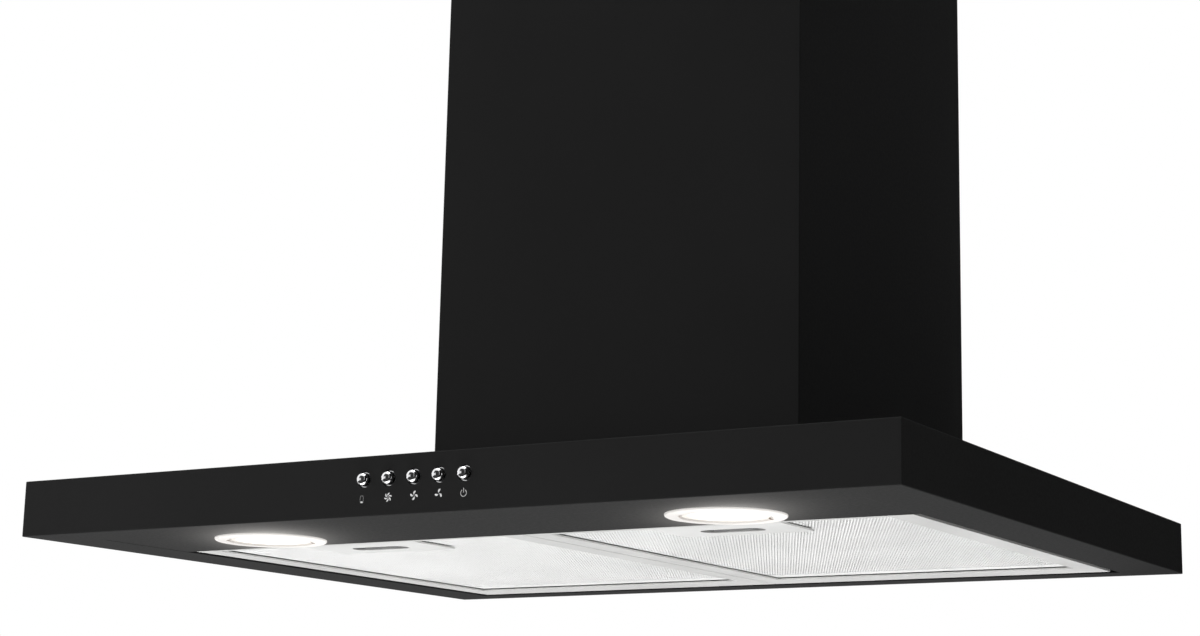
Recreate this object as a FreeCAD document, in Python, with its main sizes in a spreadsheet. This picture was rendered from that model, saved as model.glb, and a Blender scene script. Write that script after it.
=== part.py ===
import FreeCAD, Part
import math
import os
import re
import Sketcher

# Wall mounted chimney hood, 60 cm wide, flat canopy with a telescopic chimney.
# X runs across the wall, Y points into the wall, Z is up. The origin is where the canopy's
# underside meets the wall, half way along.

# Driving dimensions, in millimetres unless the name says otherwise.
SIZES = {
    # canopy: one folded sheet with a rim turned in below
    "canopy_width": 600,
    "canopy_depth": 490,
    "canopy_height": 35,
    "canopy_sheet": 0.8,
    "fold_radius": 0.6,
    "rim_side": 37,
    "rim_front": 35,
    "rim_rear": 23,
    "rim_lip": 9,
    # lamp strip let into the underside, in front of the filters
    "panel_recess": 0.2,
    "panel_sheet": 0.8,
    "panel_flange": 7,
    "panel_upstand": 14,
    "lamp_strip": 78,
    # LED spots
    "lamp_inset": 138.5,
    "lamp_setback": 74,
    "bezel_radius": 34.8,
    "bezel_stand": 1.8,
    "bezel_bevel": 1,
    "barrel_radius": 29.8,
    "barrel_height": 9,
    "lens_radius": 25,
    "lens_thickness": 0.8,
    "lamp_clearance": 0.2,
    "sink_width": 44,
    "sink_base": 4,
    "sink_height": 13,
    "fin_pitch": 7,
    "fin_thickness": 2.5,
    "clip_width": 8,
    "clip_reach": 12,
    "clip_sheet": 0.9,
    "clip_clearance": 0.1,
    "driver_length": 84,
    "driver_depth": 40,
    "driver_height": 20,
    "driver_ear": 10,
    "ear_sheet": 2,
    # push buttons in the front face
    "button_pitch": 17.4,
    "button_level": 21.4,
    "button_radius": 4.5,
    "button_stand": 4.5,
    "button_body": 10,
    "button_bevel": 1.2,
    "stem_half": 2,
    "stem_length": 13,
    "button_clearance": 0.3,
    "switch_wall": 2,
    "switch_length": 92,
    "switch_depth": 27,
    "switch_height": 18,
    # grease filters
    "filter_lift": 0.4,
    "filter_thickness": 9,
    "filter_sheet": 1.0,
    "filter_side_gap": 5.5,
    "filter_mid_gap": 1,
    "filter_front_gap": 1,
    "filter_rear_gap": 6,
    "border_side": 16,
    "border_front": 6,
    "border_rear": 29,
    "tongue_width": 20,
    "tongue_length": 13,
    "tongue_step": 0.8,
    "mesh_gap": 0.8,
    "mesh_hem": 4,
    "mesh_sheet": 0.5,
    "pleat_sheet": 0.6,
    "handle_width": 87,
    "handle_length": 46,
    "finger_length": 42,
    "finger_width": 15,
    "finger_setback": 31,
    "cutout_margin": 1,
    "cutout_rear": 12,
    # filter latches
    "latch_level": 5.7,
    "latch_sheet": 1.5,
    "latch_width": 24,
    "latch_gap": 0.2,
    "latch_clearance": 0.4,
    "pull_width": 26,
    "pull_sheet": 1.2,
    "shoulder_setback": 40,
    "spring_room": 9,
    "spring_width": 5,
    "spring_strip": 2.4,
    "spring_clearance": 0.1,
    "tab_cover": 1,
    "tail_width": 3,
    "tail_length": 15,
    # blower box that hangs on the wall
    "box_width": 236,
    "box_depth": 264,
    "box_height": 300,
    "box_sheet": 1.0,
    "box_flange": 12,
    "air_margin": 6,
    "keyhole_spacing": 180,
    "keyhole_drop": 40,
    "keyhole_entry": 7.5,
    "keyhole_slot": 4,
    "keyhole_rise": 14,
    "fixing_spacing": 180,
    "fixing_level": 70,
    "fixing_radius": 4,
    # scroll housing: a volute on four arcs whose centres are a square's corners
    "shaft_setback": 104,
    "shaft_level": 158,
    "volute_start": 84,
    "volute_step": 10,
    "volute_width": 116,
    "volute_wall": 2,
    "inlet_radius": 60,
    "inlet_lip": 2,
    "inlet_depth": 6.5,
    "lug_side": 12,
    "lug_length": 12,
    # double-inlet impeller
    "impeller_radius": 75,
    "blade_root": 61,
    "blade_thickness": 1.2,
    "impeller_width": 100,
    "end_ring": 2,
    "web_thickness": 2,
    "hub_radius": 10,
    "hub_length": 16,
    "shaft_radius": 4,
    "shaft_fit": 0.02,
    "nut_radius": 7,
    "nut_height": 5,
    "shaft_end": 3,
    # motor in the mouth of the left inlet
    "motor_radius": 44,
    "motor_end_radius": 36,
    "motor_length": 48,
    "motor_step": 8,
    "running_clearance": 0.05,
    "bracket_sheet": 1.5,
    "bracket_hub": 30,
    "arm_width": 15,
    "arm_reach": 74,
    "bush_radius": 6,
    "bush_gap": 2,
    # round outlet collar with its two flaps
    "duct_radius": 75,
    "duct_wall": 2,
    "duct_flange": 160,
    "flange_step": 4,
    "flange_thickness": 2.5,
    "collar_height": 45,
    "flap_level": 10,
    "flap_thickness": 1.2,
    "flap_margin": 1,
    "flap_split": 3.6,
    "knuckle_radius": 2.8,
    "knuckle_length": 40,
    "knuckle_start": 6,
    "pin_radius": 1.5,
    "stop_width": 30,
    "stop_depth": 5,
    "stop_thickness": 2,
    "seat_gap": 0.3,
    # electrical parts
    "capacitor_radius": 15,
    "capacitor_length": 62,
    "capacitor_level": 75,
    "capacitor_setback": 32,
    "capacitor_gap": 1,
    "blade_height": 7,
    "blade_width": 6,
    "blade_sheet": 0.8,
    "blade_spacing": 8,
    "clip_band": 1,
    "band_height": 12,
    "terminal_length": 80,
    "terminal_depth": 42,
    "terminal_height": 28,
    "terminal_wall": 2,
    "terminal_lid": 2,
    "terminal_start": 20,
    "terminal_setback": 8,
    "gland_radius": 8,
    "gland_length": 18,
    "gland_bore": 4,
    "gland_neck": 6,
    "gland_nut": 3,
    "gland_clearance": 0.1,
    # chimney covers
    "chimney_width": 277,
    "chimney_depth": 276,
    "chimney_height": 455,
    "chimney_sheet": 0.8,
    "chimney_return": 15,
    "chimney_gap": 0.4,
    "chimney_rise": 130,
    "vent_length": 60,
    "vent_width": 3.5,
    "vent_pitch": 12,
    "vent_drop": 60,
    "bracket_drop": 5,
    "wall_bracket_height": 40,
    "wall_bracket_sheet": 1.5,
    "wall_bracket_foot": 105,
    "wall_bracket_step": 4,
    "wall_bracket_arm": 30,
    "slot_spacing": 160,
    "slot_radius": 2.7,
    "slot_length": 20,
}
BUTTONS = ["button_light", "button_speed_high", "button_speed_medium", "button_speed_low", "button_power"]
PLEAT_COUNT = 12
BLADE_COUNT = 24
ARM_COUNT = 3
VENT_COUNT = 7
FIN_COUNT = 6
SPRING_FOLDS = 5

# Places worked out from the driving dimensions, as expressions of the sheet.
WINDOW_HALF = "(canopy_width / 2 - rim_side)"
WINDOW_FRONT = "(rim_front - canopy_depth)"
WINDOW_REAR = "(-rim_rear)"
PANEL_REAR = "(rim_front - canopy_depth + lamp_strip)"
LAMP_X = "(canopy_width / 2 - lamp_inset)"
LAMP_Y = "(lamp_setback - canopy_depth)"
FILTER_FRONT = "(rim_front - canopy_depth + lamp_strip + filter_front_gap)"
FILTER_REAR = "(-rim_rear - filter_rear_gap)"
FILTER_WIDTH = "(canopy_width / 2 - rim_side - filter_side_gap - filter_mid_gap / 2)"
FILTER_MID = "((canopy_width / 2 - rim_side - filter_side_gap + filter_mid_gap / 2) / 2)"
FINGER_Y = "(rim_front - canopy_depth + lamp_strip + filter_front_gap + finger_setback)"
SHOULDER_Y = "(rim_front - canopy_depth + lamp_strip + filter_front_gap + shoulder_setback)"
HANDLE_REAR = "(rim_front - canopy_depth + lamp_strip + filter_front_gap + border_front + handle_length)"
MESH_LEVEL = "(filter_lift + filter_sheet + mesh_gap)"
LATCH_LOW = "(latch_level - latch_clearance)"
LATCH_HIGH = "(latch_level + latch_sheet + latch_clearance)"
BOX_TOP = "(canopy_height + box_height)"
COLLAR_BASE = "(canopy_height + box_height + flange_thickness)"
FLAP_Z = "(canopy_height + box_height + flange_thickness + flap_level)"
DUCT_Y = "(-shaft_setback - 0.75 * volute_start - 1.5 * volute_step)"

doc = FreeCAD.newDocument("chimney_hood")
sheet = doc.addObject("Spreadsheet::Sheet", "Sizes")
for row, (alias, number) in enumerate(SIZES.items(), start=1):
    sheet.set(f"A{row}", alias)
    sheet.set(f"B{row}", str(number))
    sheet.setAlias(f"B{row}", alias)
doc.recompute()

subparts = []


def bound(text):
    """The expression with every size's name pointing at its cell."""
    return re.sub(r"\b([a-z]\w*)\b", r"Sizes.\1", str(text))


def size(alias):
    return float(sheet.get(alias))


def place(thing, x="0", y="0", z="0"):
    thing.setExpression(".Placement.Base.x", bound(x))
    thing.setExpression(".Placement.Base.y", bound(y))
    thing.setExpression(".Placement.Base.z", bound(z))


def new_body(node, x="0", y="0", z="0"):
    body = doc.addObject("PartDesign::Body", node)
    body.Label = node
    body.AllowCompound = True
    place(body, x, y, z)
    subparts.append(body)
    return body


def new_shape(node, shape, base=FreeCAD.Vector(), rotation=FreeCAD.Rotation()):
    feature = doc.addObject("Part::Feature", node)
    feature.Label = node
    feature.Shape = shape
    feature.Placement = FreeCAD.Placement(base, rotation)
    subparts.append(feature)
    return feature


def box(left, right, near, far):
    """Four corners of a rectangle in a sketch."""
    return [(left, near), (right, near), (right, far), (left, far)]


def sketch_on(body, plane, level):
    """A sketch on one of the body's origin planes, moved to a level along that plane's axis."""
    sketch = body.newObject("Sketcher::SketchObject", f"{body.Name}_sketch")
    support = next(item for item in body.Origin.OriginFeatures if item.Role == f"{plane}_Plane")
    sketch.AttachmentSupport = [(support, "")]
    sketch.MapMode = "FlatFace"
    sign = "-1" if plane == "XZ" else "1"
    sketch.setExpression(".AttachmentOffset.Base.z", bound(f"{sign} * ({level})"))
    return sketch


def hold(sketch, kind, edge, point, expression):
    """Fix one coordinate of a point from the sketch's origin."""
    index = sketch.addConstraint(Sketcher.Constraint(kind, -1, 1, edge, point, 1.0))
    sketch.setExpression(f"Constraints[{index}]", bound(expression))


def draw_outline(sketch, corners):
    """A closed outline of straight edges, each corner held by its two coordinates."""
    count = len(corners)
    first = sketch.GeometryCount
    turns = [2 * math.pi * index / count for index in range(count)]
    ring = [FreeCAD.Vector(math.cos(turn), math.sin(turn), 0) for turn in turns]
    for index in range(count):
        sketch.addGeometry(Part.LineSegment(ring[index], ring[(index + 1) % count]), False)
    for index in range(count):
        following = first + (index + 1) % count
        sketch.addConstraint(Sketcher.Constraint("Coincident", first + index, 2, following, 1))
    for index, (across, along) in enumerate(corners):
        hold(sketch, "DistanceX", first + index, 1, across)
        hold(sketch, "DistanceY", first + index, 1, along)


def draw_circle(sketch, across, along, radius):
    start = Part.Circle(FreeCAD.Vector(0, 0, 0), FreeCAD.Vector(0, 0, 1), 1.0)
    edge = sketch.addGeometry(start, False)
    hold(sketch, "DistanceX", edge, 3, across)
    hold(sketch, "DistanceY", edge, 3, along)
    index = sketch.addConstraint(Sketcher.Constraint("Radius", edge, 1.0))
    sketch.setExpression(f"Constraints[{index}]", bound(radius))


def extrude(body, kind, plane, level, length, outlines=(), circles=()):
    """A Pad or Pocket from a level, always towards the plane's positive axis."""
    sketch = sketch_on(body, plane, level)
    for corners in outlines:
        draw_outline(sketch, corners)
    for across, along, radius in circles:
        draw_circle(sketch, across, along, radius)
    feature = body.newObject(f"PartDesign::{kind}", f"{body.Name}_{kind.lower()}")
    feature.Profile = sketch
    feature.setExpression("Length", bound(length))
    feature.Reversed = (plane == "XZ") if kind == "Pad" else (plane != "XZ")
    body.Tip = feature
    return feature


def turn(body, plane, axis, corners):
    """A closed profile turned about the sketch's H_Axis or V_Axis."""
    sketch = sketch_on(body, plane, "0")
    draw_outline(sketch, corners)
    feature = body.newObject("PartDesign::Revolution", f"{body.Name}_turned")
    feature.Profile = sketch
    feature.ReferenceAxis = (sketch, [axis])
    feature.Angle = 360
    body.Tip = feature
    return feature


def round_edges(body, radius, chosen):
    """A fillet on the edges of the body whose middle passes the test."""
    doc.recompute()
    base = body.Tip
    names = [f"Edge{index}" for index, edge in enumerate(base.Shape.Edges, start=1)
             if chosen(edge.CenterOfMass)]
    feature = body.newObject("PartDesign::Fillet", f"{body.Name}_fold")
    feature.Base = (base, names)
    feature.setExpression("Radius", bound(radius))
    body.Tip = feature


def near(first, second):
    return abs(first - second) < 0.01


def hexagon(across, along, radius):
    """Six corners of a nut, round its middle."""
    steps = [(1, 0), (0.5, 0.866), (-0.5, 0.866), (-1, 0), (-0.5, -0.866), (0.5, -0.866)]
    return [(f"{across} + ({x}) * {radius}", f"{along} + ({y}) * {radius}") for x, y in steps]


# Canopy

def canopy_shell():
    """Folded box: top, front, sides and back, with a rim turned in below and up at its edge."""
    body = new_body("canopy_shell")
    half = "canopy_width / 2"
    extrude(body, "Pad", "XY", "0", "canopy_height", [box(f"-{half}", half, "-canopy_depth", "0")])
    inner_half = "(canopy_width / 2 - canopy_sheet)"
    extrude(body, "Pocket", "XY", "canopy_sheet", "canopy_height - 2 * canopy_sheet",
            [box(f"-{inner_half}", inner_half, "canopy_sheet - canopy_depth", "-canopy_sheet")])
    extrude(body, "Pocket", "XY", "0", "canopy_sheet",
            [box(f"-{WINDOW_HALF}", WINDOW_HALF, WINDOW_FRONT, WINDOW_REAR)])
    outer = f"({WINDOW_HALF} + canopy_sheet)"
    lip = [(f"-{outer}", WINDOW_REAR), (f"-{outer}", f"{WINDOW_FRONT} - canopy_sheet"),
           (outer, f"{WINDOW_FRONT} - canopy_sheet"), (outer, WINDOW_REAR),
           (WINDOW_HALF, WINDOW_REAR), (WINDOW_HALF, WINDOW_FRONT),
           (f"-{WINDOW_HALF}", WINDOW_FRONT), (f"-{WINDOW_HALF}", WINDOW_REAR)]
    extrude(body, "Pad", "XY", "0", "rim_lip", [lip])
    top = "canopy_height - canopy_sheet"
    air_half = "(box_width / 2 - air_margin)"
    extrude(body, "Pocket", "XY", top, "canopy_sheet",
            [box(f"-{air_half}", air_half, "air_margin - box_depth", "-air_margin")])
    extrude(body, "Pocket", "XZ", "-canopy_depth", "canopy_sheet",
            circles=[(x, "button_level", "button_radius + button_clearance") for x in button_places()])
    wide, deep, high = size("canopy_width") / 2, size("canopy_depth"), size("canopy_height")

    def outside_fold(middle):
        side = near(abs(middle.x), wide)
        front = near(middle.y, -deep)
        level = near(middle.z, 0) or near(middle.z, high)
        return side + front + level >= 2

    round_edges(body, "fold_radius", outside_fold)


def button_places():
    return [f"({index - 2}) * button_pitch" for index in range(len(BUTTONS))]


def lamp_panel():
    """Strip between the rims that carries the lamps; the filters' catches press on its rear upstand."""
    body = new_body("lamp_panel")
    extrude(body, "Pad", "XY", "panel_recess", "panel_sheet",
            [box(f"-{WINDOW_HALF}", WINDOW_HALF, WINDOW_FRONT, PANEL_REAR)],
            [(f"{side} * {LAMP_X}", LAMP_Y, "barrel_radius + lamp_clearance") for side in (-1, 1)])
    for side in (-1, 1):
        edge, fold = f"{side} * {WINDOW_HALF}", f"{side} * ({WINDOW_HALF} - panel_sheet)"
        extrude(body, "Pad", "XY", "panel_recess", "panel_flange",
                [box(edge, fold, WINDOW_FRONT, PANEL_REAR)])
    extrude(body, "Pad", "XY", "panel_recess", "panel_upstand",
            [box(f"-{WINDOW_HALF}", WINDOW_HALF, f"{PANEL_REAR} - panel_sheet", PANEL_REAR)])


# Lamps

def lamp(side_name, sign):
    """One LED spot: bezel ring, lens and closed body with cooling fins."""
    where = {"x": f"{sign} * {LAMP_X}", "y": LAMP_Y, "z": "panel_recess"}
    bore = "(lens_radius + lamp_clearance)"
    bezel = new_body(f"lamp_bezel_{side_name}", **where)
    turn(bezel, "XZ", "V_Axis",
         [(bore, "-bezel_stand"), ("bezel_radius - bezel_bevel", "-bezel_stand"),
          ("bezel_radius", "0"), (bore, "0")])
    lens = new_body(f"lamp_lens_{side_name}", **where)
    extrude(lens, "Pad", "XY", "-lens_thickness", "lens_thickness", circles=[("0", "0", "lens_radius")])
    sink = new_body(f"lamp_body_{side_name}", **where)
    extrude(sink, "Pad", "XY", "0", "barrel_height", circles=[("0", "0", "barrel_radius")])
    half = "sink_width / 2"
    extrude(sink, "Pad", "XY", "barrel_height", "sink_base", [box(f"-{half}", half, f"-{half}", half)])
    fins = []
    for index in range(FIN_COUNT):
        middle = f"({index - (FIN_COUNT - 1) / 2}) * fin_pitch"
        fins.append(box(f"{middle} - fin_thickness / 2", f"{middle} + fin_thickness / 2",
                        f"-{half}", half))
    extrude(sink, "Pad", "XY", "barrel_height + sink_base", "sink_height - sink_base", fins)


def lamp_clips():
    """Bent strips from each barrel down to the strip's upper face, two per lamp."""
    body = new_body("lamp_clips", y=LAMP_Y, z="panel_recess")
    foot = "(panel_sheet + clip_clearance)"
    peak = "(barrel_height - clip_sheet)"
    for lamp_sign in (-1, 1):
        for clip_sign in (-1, 1):
            middle = f"{lamp_sign} * {LAMP_X} + ({clip_sign})"
            strip = [("0", "0.5 * barrel_height"), ("clip_reach / 2", peak), ("clip_reach", foot),
                     ("clip_reach + clip_sheet", foot),
                     ("clip_reach / 2 + clip_sheet / 2", f"{peak} + clip_sheet"),
                     ("0", "0.5 * barrel_height + clip_sheet")]
            corners = [(f"{middle} * (barrel_radius + {out})", level) for out, level in strip]
            extrude(body, "Pad", "XZ", "-clip_width / 2", "clip_width", [corners])


def led_driver():
    """Closed LED supply under the canopy's top, with a fixing ear at each end."""
    body = new_body("led_driver", y=LAMP_Y, z="canopy_height - canopy_sheet - driver_height")
    half, deep = "driver_length / 2", "driver_depth / 2"
    extrude(body, "Pad", "XY", "0", "driver_height", [box(f"-{half}", half, f"-{deep}", deep)])
    ear = "(driver_length / 2 + driver_ear)"
    extrude(body, "Pad", "XY", "driver_height - ear_sheet", "ear_sheet",
            [box(f"-{ear}", ear, "-driver_ear", "driver_ear")])


# Buttons

def push_button(node, across):
    """Bevelled round cap on a square stem that reaches into the switch block."""
    body = new_body(node, x=across, y="-canopy_depth", z="button_level")
    back = "(button_body - button_stand)"
    extrude(body, "Pad", "XZ", "-button_stand", "button_body", circles=[("0", "0", "button_radius")])
    doc.recompute()
    tip = body.Tip
    rim = [f"Edge{index}" for index, edge in enumerate(tip.Shape.Edges, start=1)
           if len(edge.Vertexes) == 1 and near(edge.CenterOfMass.y, -size("button_stand"))]
    bevel = body.newObject("PartDesign::Chamfer", f"{node}_bevel")
    bevel.Base = (tip, rim)
    bevel.setExpression("Size", bound("button_bevel"))
    body.Tip = bevel
    extrude(body, "Pad", "XZ", back, "stem_length",
            [box("-stem_half", "stem_half", "-stem_half", "stem_half")])


def switch_housing():
    """Switch block behind the front face, open towards the buttons."""
    body = new_body("switch_housing", y="canopy_sheet - canopy_depth", z="button_level")
    half, high = "switch_length / 2", "switch_height / 2"
    extrude(body, "Pad", "XZ", "0", "switch_depth", [box(f"-{half}", half, f"-{high}", high)])
    inner, low = f"({half} - switch_wall)", f"({high} - switch_wall)"
    extrude(body, "Pocket", "XZ", "0", "switch_depth - switch_wall",
            [box(f"-{inner}", inner, f"-{low}", low)])


# Filters

def filter_frame(side_name, sign):
    """Channel frame round the mesh, with two tongues that rest on the rear rim."""
    body = new_body(f"filter_frame_{side_name}", x=f"{sign} * {FILTER_MID}")
    half = f"({FILTER_WIDTH} / 2)"
    extrude(body, "Pad", "XY", "filter_lift", "filter_thickness",
            [box(f"-{half}", half, FILTER_FRONT, FILTER_REAR)])
    inner = f"({half} - filter_sheet)"
    extrude(body, "Pocket", "XY", "filter_lift + filter_sheet", "filter_thickness - 2 * filter_sheet",
            [box(f"-{inner}", inner, f"{FILTER_FRONT} + filter_sheet", f"{FILTER_REAR} - filter_sheet")])
    window = f"({half} - border_side)"
    extrude(body, "Pocket", "XY", "filter_lift", "filter_thickness",
            [box(f"-{window}", window, f"{FILTER_FRONT} + border_front", f"{FILTER_REAR} - border_rear")])
    tongues = []
    for side in (-1, 1):
        middle = f"({side}) * {FILTER_WIDTH} / 4"
        tongues.append(box(f"{middle} - tongue_width / 2", f"{middle} + tongue_width / 2",
                           FILTER_REAR, f"{FILTER_REAR} + tongue_length"))
    extrude(body, "Pad", "XY", "filter_lift + tongue_step", "filter_sheet", tongues)
    slot = "(latch_width / 2 + latch_clearance)"
    extrude(body, "Pocket", "XZ", FILTER_FRONT, "filter_sheet",
            [box(f"-{slot}", slot, LATCH_LOW, LATCH_HIGH)])


def filter_mesh(side_name, sign):
    """Fine outer mesh, held off the frame's lower lip by the hem turned down at its edge."""
    body = new_body(f"filter_mesh_{side_name}", x=f"{sign} * {FILTER_MID}")
    inner = f"({FILTER_WIDTH} / 2 - filter_sheet)"
    front, rear = f"({FILTER_FRONT} + filter_sheet)", f"({FILTER_REAR} - filter_sheet)"
    extrude(body, "Pad", "XY", MESH_LEVEL, "mesh_sheet", [box(f"-{inner}", inner, front, rear)])
    hem = [box(f"-{inner}", inner, front, rear),
           box(f"mesh_hem - {inner}", f"{inner} - mesh_hem", f"{front} + mesh_hem", f"{rear} - mesh_hem")]
    extrude(body, "Pad", "XY", "filter_lift + filter_sheet", "mesh_gap", hem)
    extrude(body, "Pocket", "XY", MESH_LEVEL, "mesh_sheet",
            [box("-finger_length / 2 - cutout_margin", "finger_length / 2 + cutout_margin",
                 f"{FINGER_Y} - finger_width / 2 - cutout_margin", f"{HANDLE_REAR} - cutout_margin")])


def filter_core(side_name, sign):
    """Pleated inner layers between the mesh and the frame's upper lip."""
    body = new_body(f"filter_core_{side_name}", x=f"{sign} * {FILTER_MID}")
    inner = f"({FILTER_WIDTH} / 2 - filter_sheet)"
    pitch = f"(2 * {inner} / {PLEAT_COUNT})"
    low = f"({MESH_LEVEL} + mesh_sheet)"
    high = "(filter_lift + filter_thickness - filter_sheet)"
    pleat = [(f"-{inner}", low), (f"{pitch} / 2 - {inner}", f"{high} - pleat_sheet"),
             (f"{pitch} - {inner}", low), (f"{pitch} - {inner}", f"{low} + pleat_sheet"),
             (f"{pitch} / 2 - {inner}", high), (f"-{inner}", f"{low} + pleat_sheet")]
    front = f"({FILTER_FRONT} + filter_sheet)"
    length = f"({FILTER_REAR} - filter_sheet - {front})"
    first = extrude(body, "Pad", "XZ", front, length, [pleat])
    pattern = body.newObject("PartDesign::LinearPattern", f"{body.Name}_pleats")
    pattern.Originals = [first]
    pattern.Direction = (first.Profile[0], ["H_Axis"])
    pattern.Occurrences = PLEAT_COUNT
    pattern.setExpression("Length", bound(f"({PLEAT_COUNT} - 1) * {pitch}"))
    body.Tip = pattern
    extrude(body, "Pocket", "XY", low, "filter_thickness",
            [box("-finger_length / 2 - cutout_margin", "finger_length / 2 + cutout_margin", front,
                 f"{HANDLE_REAR} + cutout_rear")])


def filter_handle(side_name, sign):
    """Plate with a finger slot at the filter's front; its tab guides the latch and backs the spring."""
    body = new_body(f"filter_handle_{side_name}", x=f"{sign} * {FILTER_MID}")
    half = "handle_width / 2"
    extrude(body, "Pad", "XY", "filter_lift", "filter_sheet",
            [box(f"-{half}", half, f"{FILTER_FRONT} + border_front", HANDLE_REAR)])
    straight = "((finger_length - finger_width) / 2)"
    reach = "finger_width / 2"
    extrude(body, "Pocket", "XY", "filter_lift", "filter_sheet",
            [box(f"-{straight}", straight, f"{FINGER_Y} - {reach}", f"{FINGER_Y} + {reach}")])
    extrude(body, "Pocket", "XY", "filter_lift", "filter_sheet",
            circles=[(f"{end} * {straight}", FINGER_Y, reach) for end in (-1, 1)])
    tab = f"({SHOULDER_Y} + spring_room)"
    extrude(body, "Pad", "XY", "filter_lift", "latch_level + latch_sheet + tab_cover - filter_lift",
            [box("-latch_width / 2", "latch_width / 2", tab, f"{tab} + filter_sheet")])
    hole = "(tail_width / 2 + latch_clearance)"
    extrude(body, "Pocket", "XZ", tab, "filter_sheet",
            [box(f"-{hole}", hole, LATCH_LOW, LATCH_HIGH)])


def filter_latch(side_name, sign):
    """Sprung catch: a nose through the frame to the lamp strip's upstand, a finger pull and a tail."""
    body = new_body(f"filter_latch_{side_name}", x=f"{sign} * {FILTER_MID}")
    half = "latch_width / 2"
    extrude(body, "Pad", "XY", "latch_level", "latch_sheet",
            [box(f"-{half}", half, f"{PANEL_REAR} + latch_gap", SHOULDER_Y)])
    extrude(body, "Pad", "XY", "latch_level", "latch_sheet",
            [box("-tail_width / 2", "tail_width / 2", SHOULDER_Y, f"{SHOULDER_Y} + tail_length")])
    pull = "pull_width / 2"
    foot = "(filter_lift + latch_clearance)"
    extrude(body, "Pad", "XY", foot, f"latch_level + latch_sheet - {foot}",
            [box(f"-{pull}", pull, FINGER_Y, f"{FINGER_Y} + pull_sheet")])


def latch_spring(side_name, sign):
    """Zigzag strip each side of the latch's tail, between its shoulder and the handle's tab."""
    body = new_body(f"latch_spring_{side_name}", x=f"{sign} * {FILTER_MID}",
                    y=f"{SHOULDER_Y} + spring_clearance")
    pitch = f"((spring_room - 2 * spring_clearance) / {SPRING_FOLDS})"
    start = "(tail_width / 2 + latch_clearance)"
    far = "(tail_width / 2 + latch_clearance + spring_width)"
    strips = []
    for half in (-1, 1):
        ends = [start if fold % 2 == 0 else far for fold in range(SPRING_FOLDS + 1)]
        near_side = [(f"({half}) * {end}", f"{fold} * {pitch}") for fold, end in enumerate(ends)]
        far_side = [(f"({half}) * ({end} + spring_strip)", f"{fold} * {pitch}")
                    for fold, end in enumerate(ends)]
        strips.append(near_side + far_side[::-1])
    extrude(body, "Pad", "XY", "latch_level", "latch_sheet", strips)


# Blower box

def blower_box():
    """Steel box, open below, that hangs on the wall and carries the canopy and the blower."""
    body = new_body("blower_box")
    half = "box_width / 2"
    extrude(body, "Pad", "XY", "canopy_height", "box_height", [box(f"-{half}", half, "-box_depth", "0")])
    inner = "(box_width / 2 - box_sheet)"
    extrude(body, "Pocket", "XY", "canopy_height", "box_height - box_sheet",
            [box(f"-{inner}", inner, "box_sheet - box_depth", "-box_sheet")])
    for sign in (-1, 1):
        root, edge = f"{sign} * (box_width / 2 - box_sheet)", f"{sign} * (box_width / 2 + box_flange)"
        extrude(body, "Pad", "XY", "canopy_height", "box_sheet",
                [box(root, edge, "box_sheet - box_depth", "-box_flange")])
    extrude(body, "Pocket", "XY", f"{BOX_TOP} - box_sheet", "box_sheet",
            circles=[("0", DUCT_Y, "duct_radius - duct_wall")])
    entry = f"{BOX_TOP} - keyhole_drop"
    columns = [f"{sign} * keyhole_spacing / 2" for sign in (-1, 1)]
    extrude(body, "Pocket", "XZ", "-box_sheet", "box_sheet",
            circles=[(x, entry, "keyhole_entry") for x in columns])
    extrude(body, "Pocket", "XZ", "-box_sheet", "box_sheet",
            [box(f"{x} - keyhole_slot", f"{x} + keyhole_slot", entry, f"{entry} + keyhole_rise")
             for x in columns])
    extrude(body, "Pocket", "XZ", "-box_sheet", "box_sheet",
            circles=[(f"{sign} * fixing_spacing / 2", "fixing_level", "fixing_radius")
                     for sign in (-1, 1)])


# Scroll

def volute_outline(inset):
    """Scroll outline in the YZ plane: four arcs of growing radius, then up to the outlet.

    The arcs' centres are the corners of a square round the shaft whose side is the step by which
    each quarter turn's radius grows. Forward (towards the room) is the outlet's side.
    """
    step, start = size("volute_step"), size("volute_start")
    shaft_y, shaft_z = -size("shaft_setback"), size("shaft_level")
    outlet = outlet_level() - shaft_z

    def at(forward, up):
        return FreeCAD.Vector(0, shaft_y - forward, shaft_z + up)

    centres = [(-step / 2, step / 2), (-step / 2, -step / 2), (step / 2, -step / 2), (step / 2, step / 2)]
    spans = [(60, 90), (90, 180), (180, 270), (270, 360)]
    edges = []
    for quarter, ((forward, up), (begin, end)) in enumerate(zip(centres, spans)):
        radius = start + quarter * step - inset
        points = [at(forward + radius * math.cos(math.radians(angle)),
                     up + radius * math.sin(math.radians(angle)))
                  for angle in (begin, (begin + end) / 2, end)]
        edges.append(Part.Arc(*points).toShape())
    tongue = edges[0].Vertexes[0].Point
    last = edges[-1].Vertexes[-1].Point
    front_top = FreeCAD.Vector(0, last.y, shaft_z + outlet)
    inner_top = FreeCAD.Vector(0, tongue.y, shaft_z + outlet)
    edges.append(Part.LineSegment(last, front_top).toShape())
    edges.append(Part.LineSegment(front_top, inner_top).toShape())
    edges.append(Part.LineSegment(inner_top, tongue).toShape())
    return Part.Face(Part.Wire(Part.__sortEdges__(edges)))


def outlet_level():
    """Under the box's top, where the scroll's outlet flange is screwed."""
    return size("canopy_height") + size("box_height") - size("box_sheet")


def duct_middle():
    """Y of the round duct, over the middle of the scroll's outlet."""
    front, back = outlet_sides(0)
    return (front + back) / 2


def outlet_sides(inset):
    """Front and back of the scroll's outlet, as two Y values."""
    step, start = size("volute_step"), size("volute_start")
    shaft_y = -size("shaft_setback")
    front = shaft_y - step / 2 - (start + 3 * step) + inset
    back = shaft_y + step / 2 - (start - inset) * math.cos(math.radians(60))
    return front, back


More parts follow.
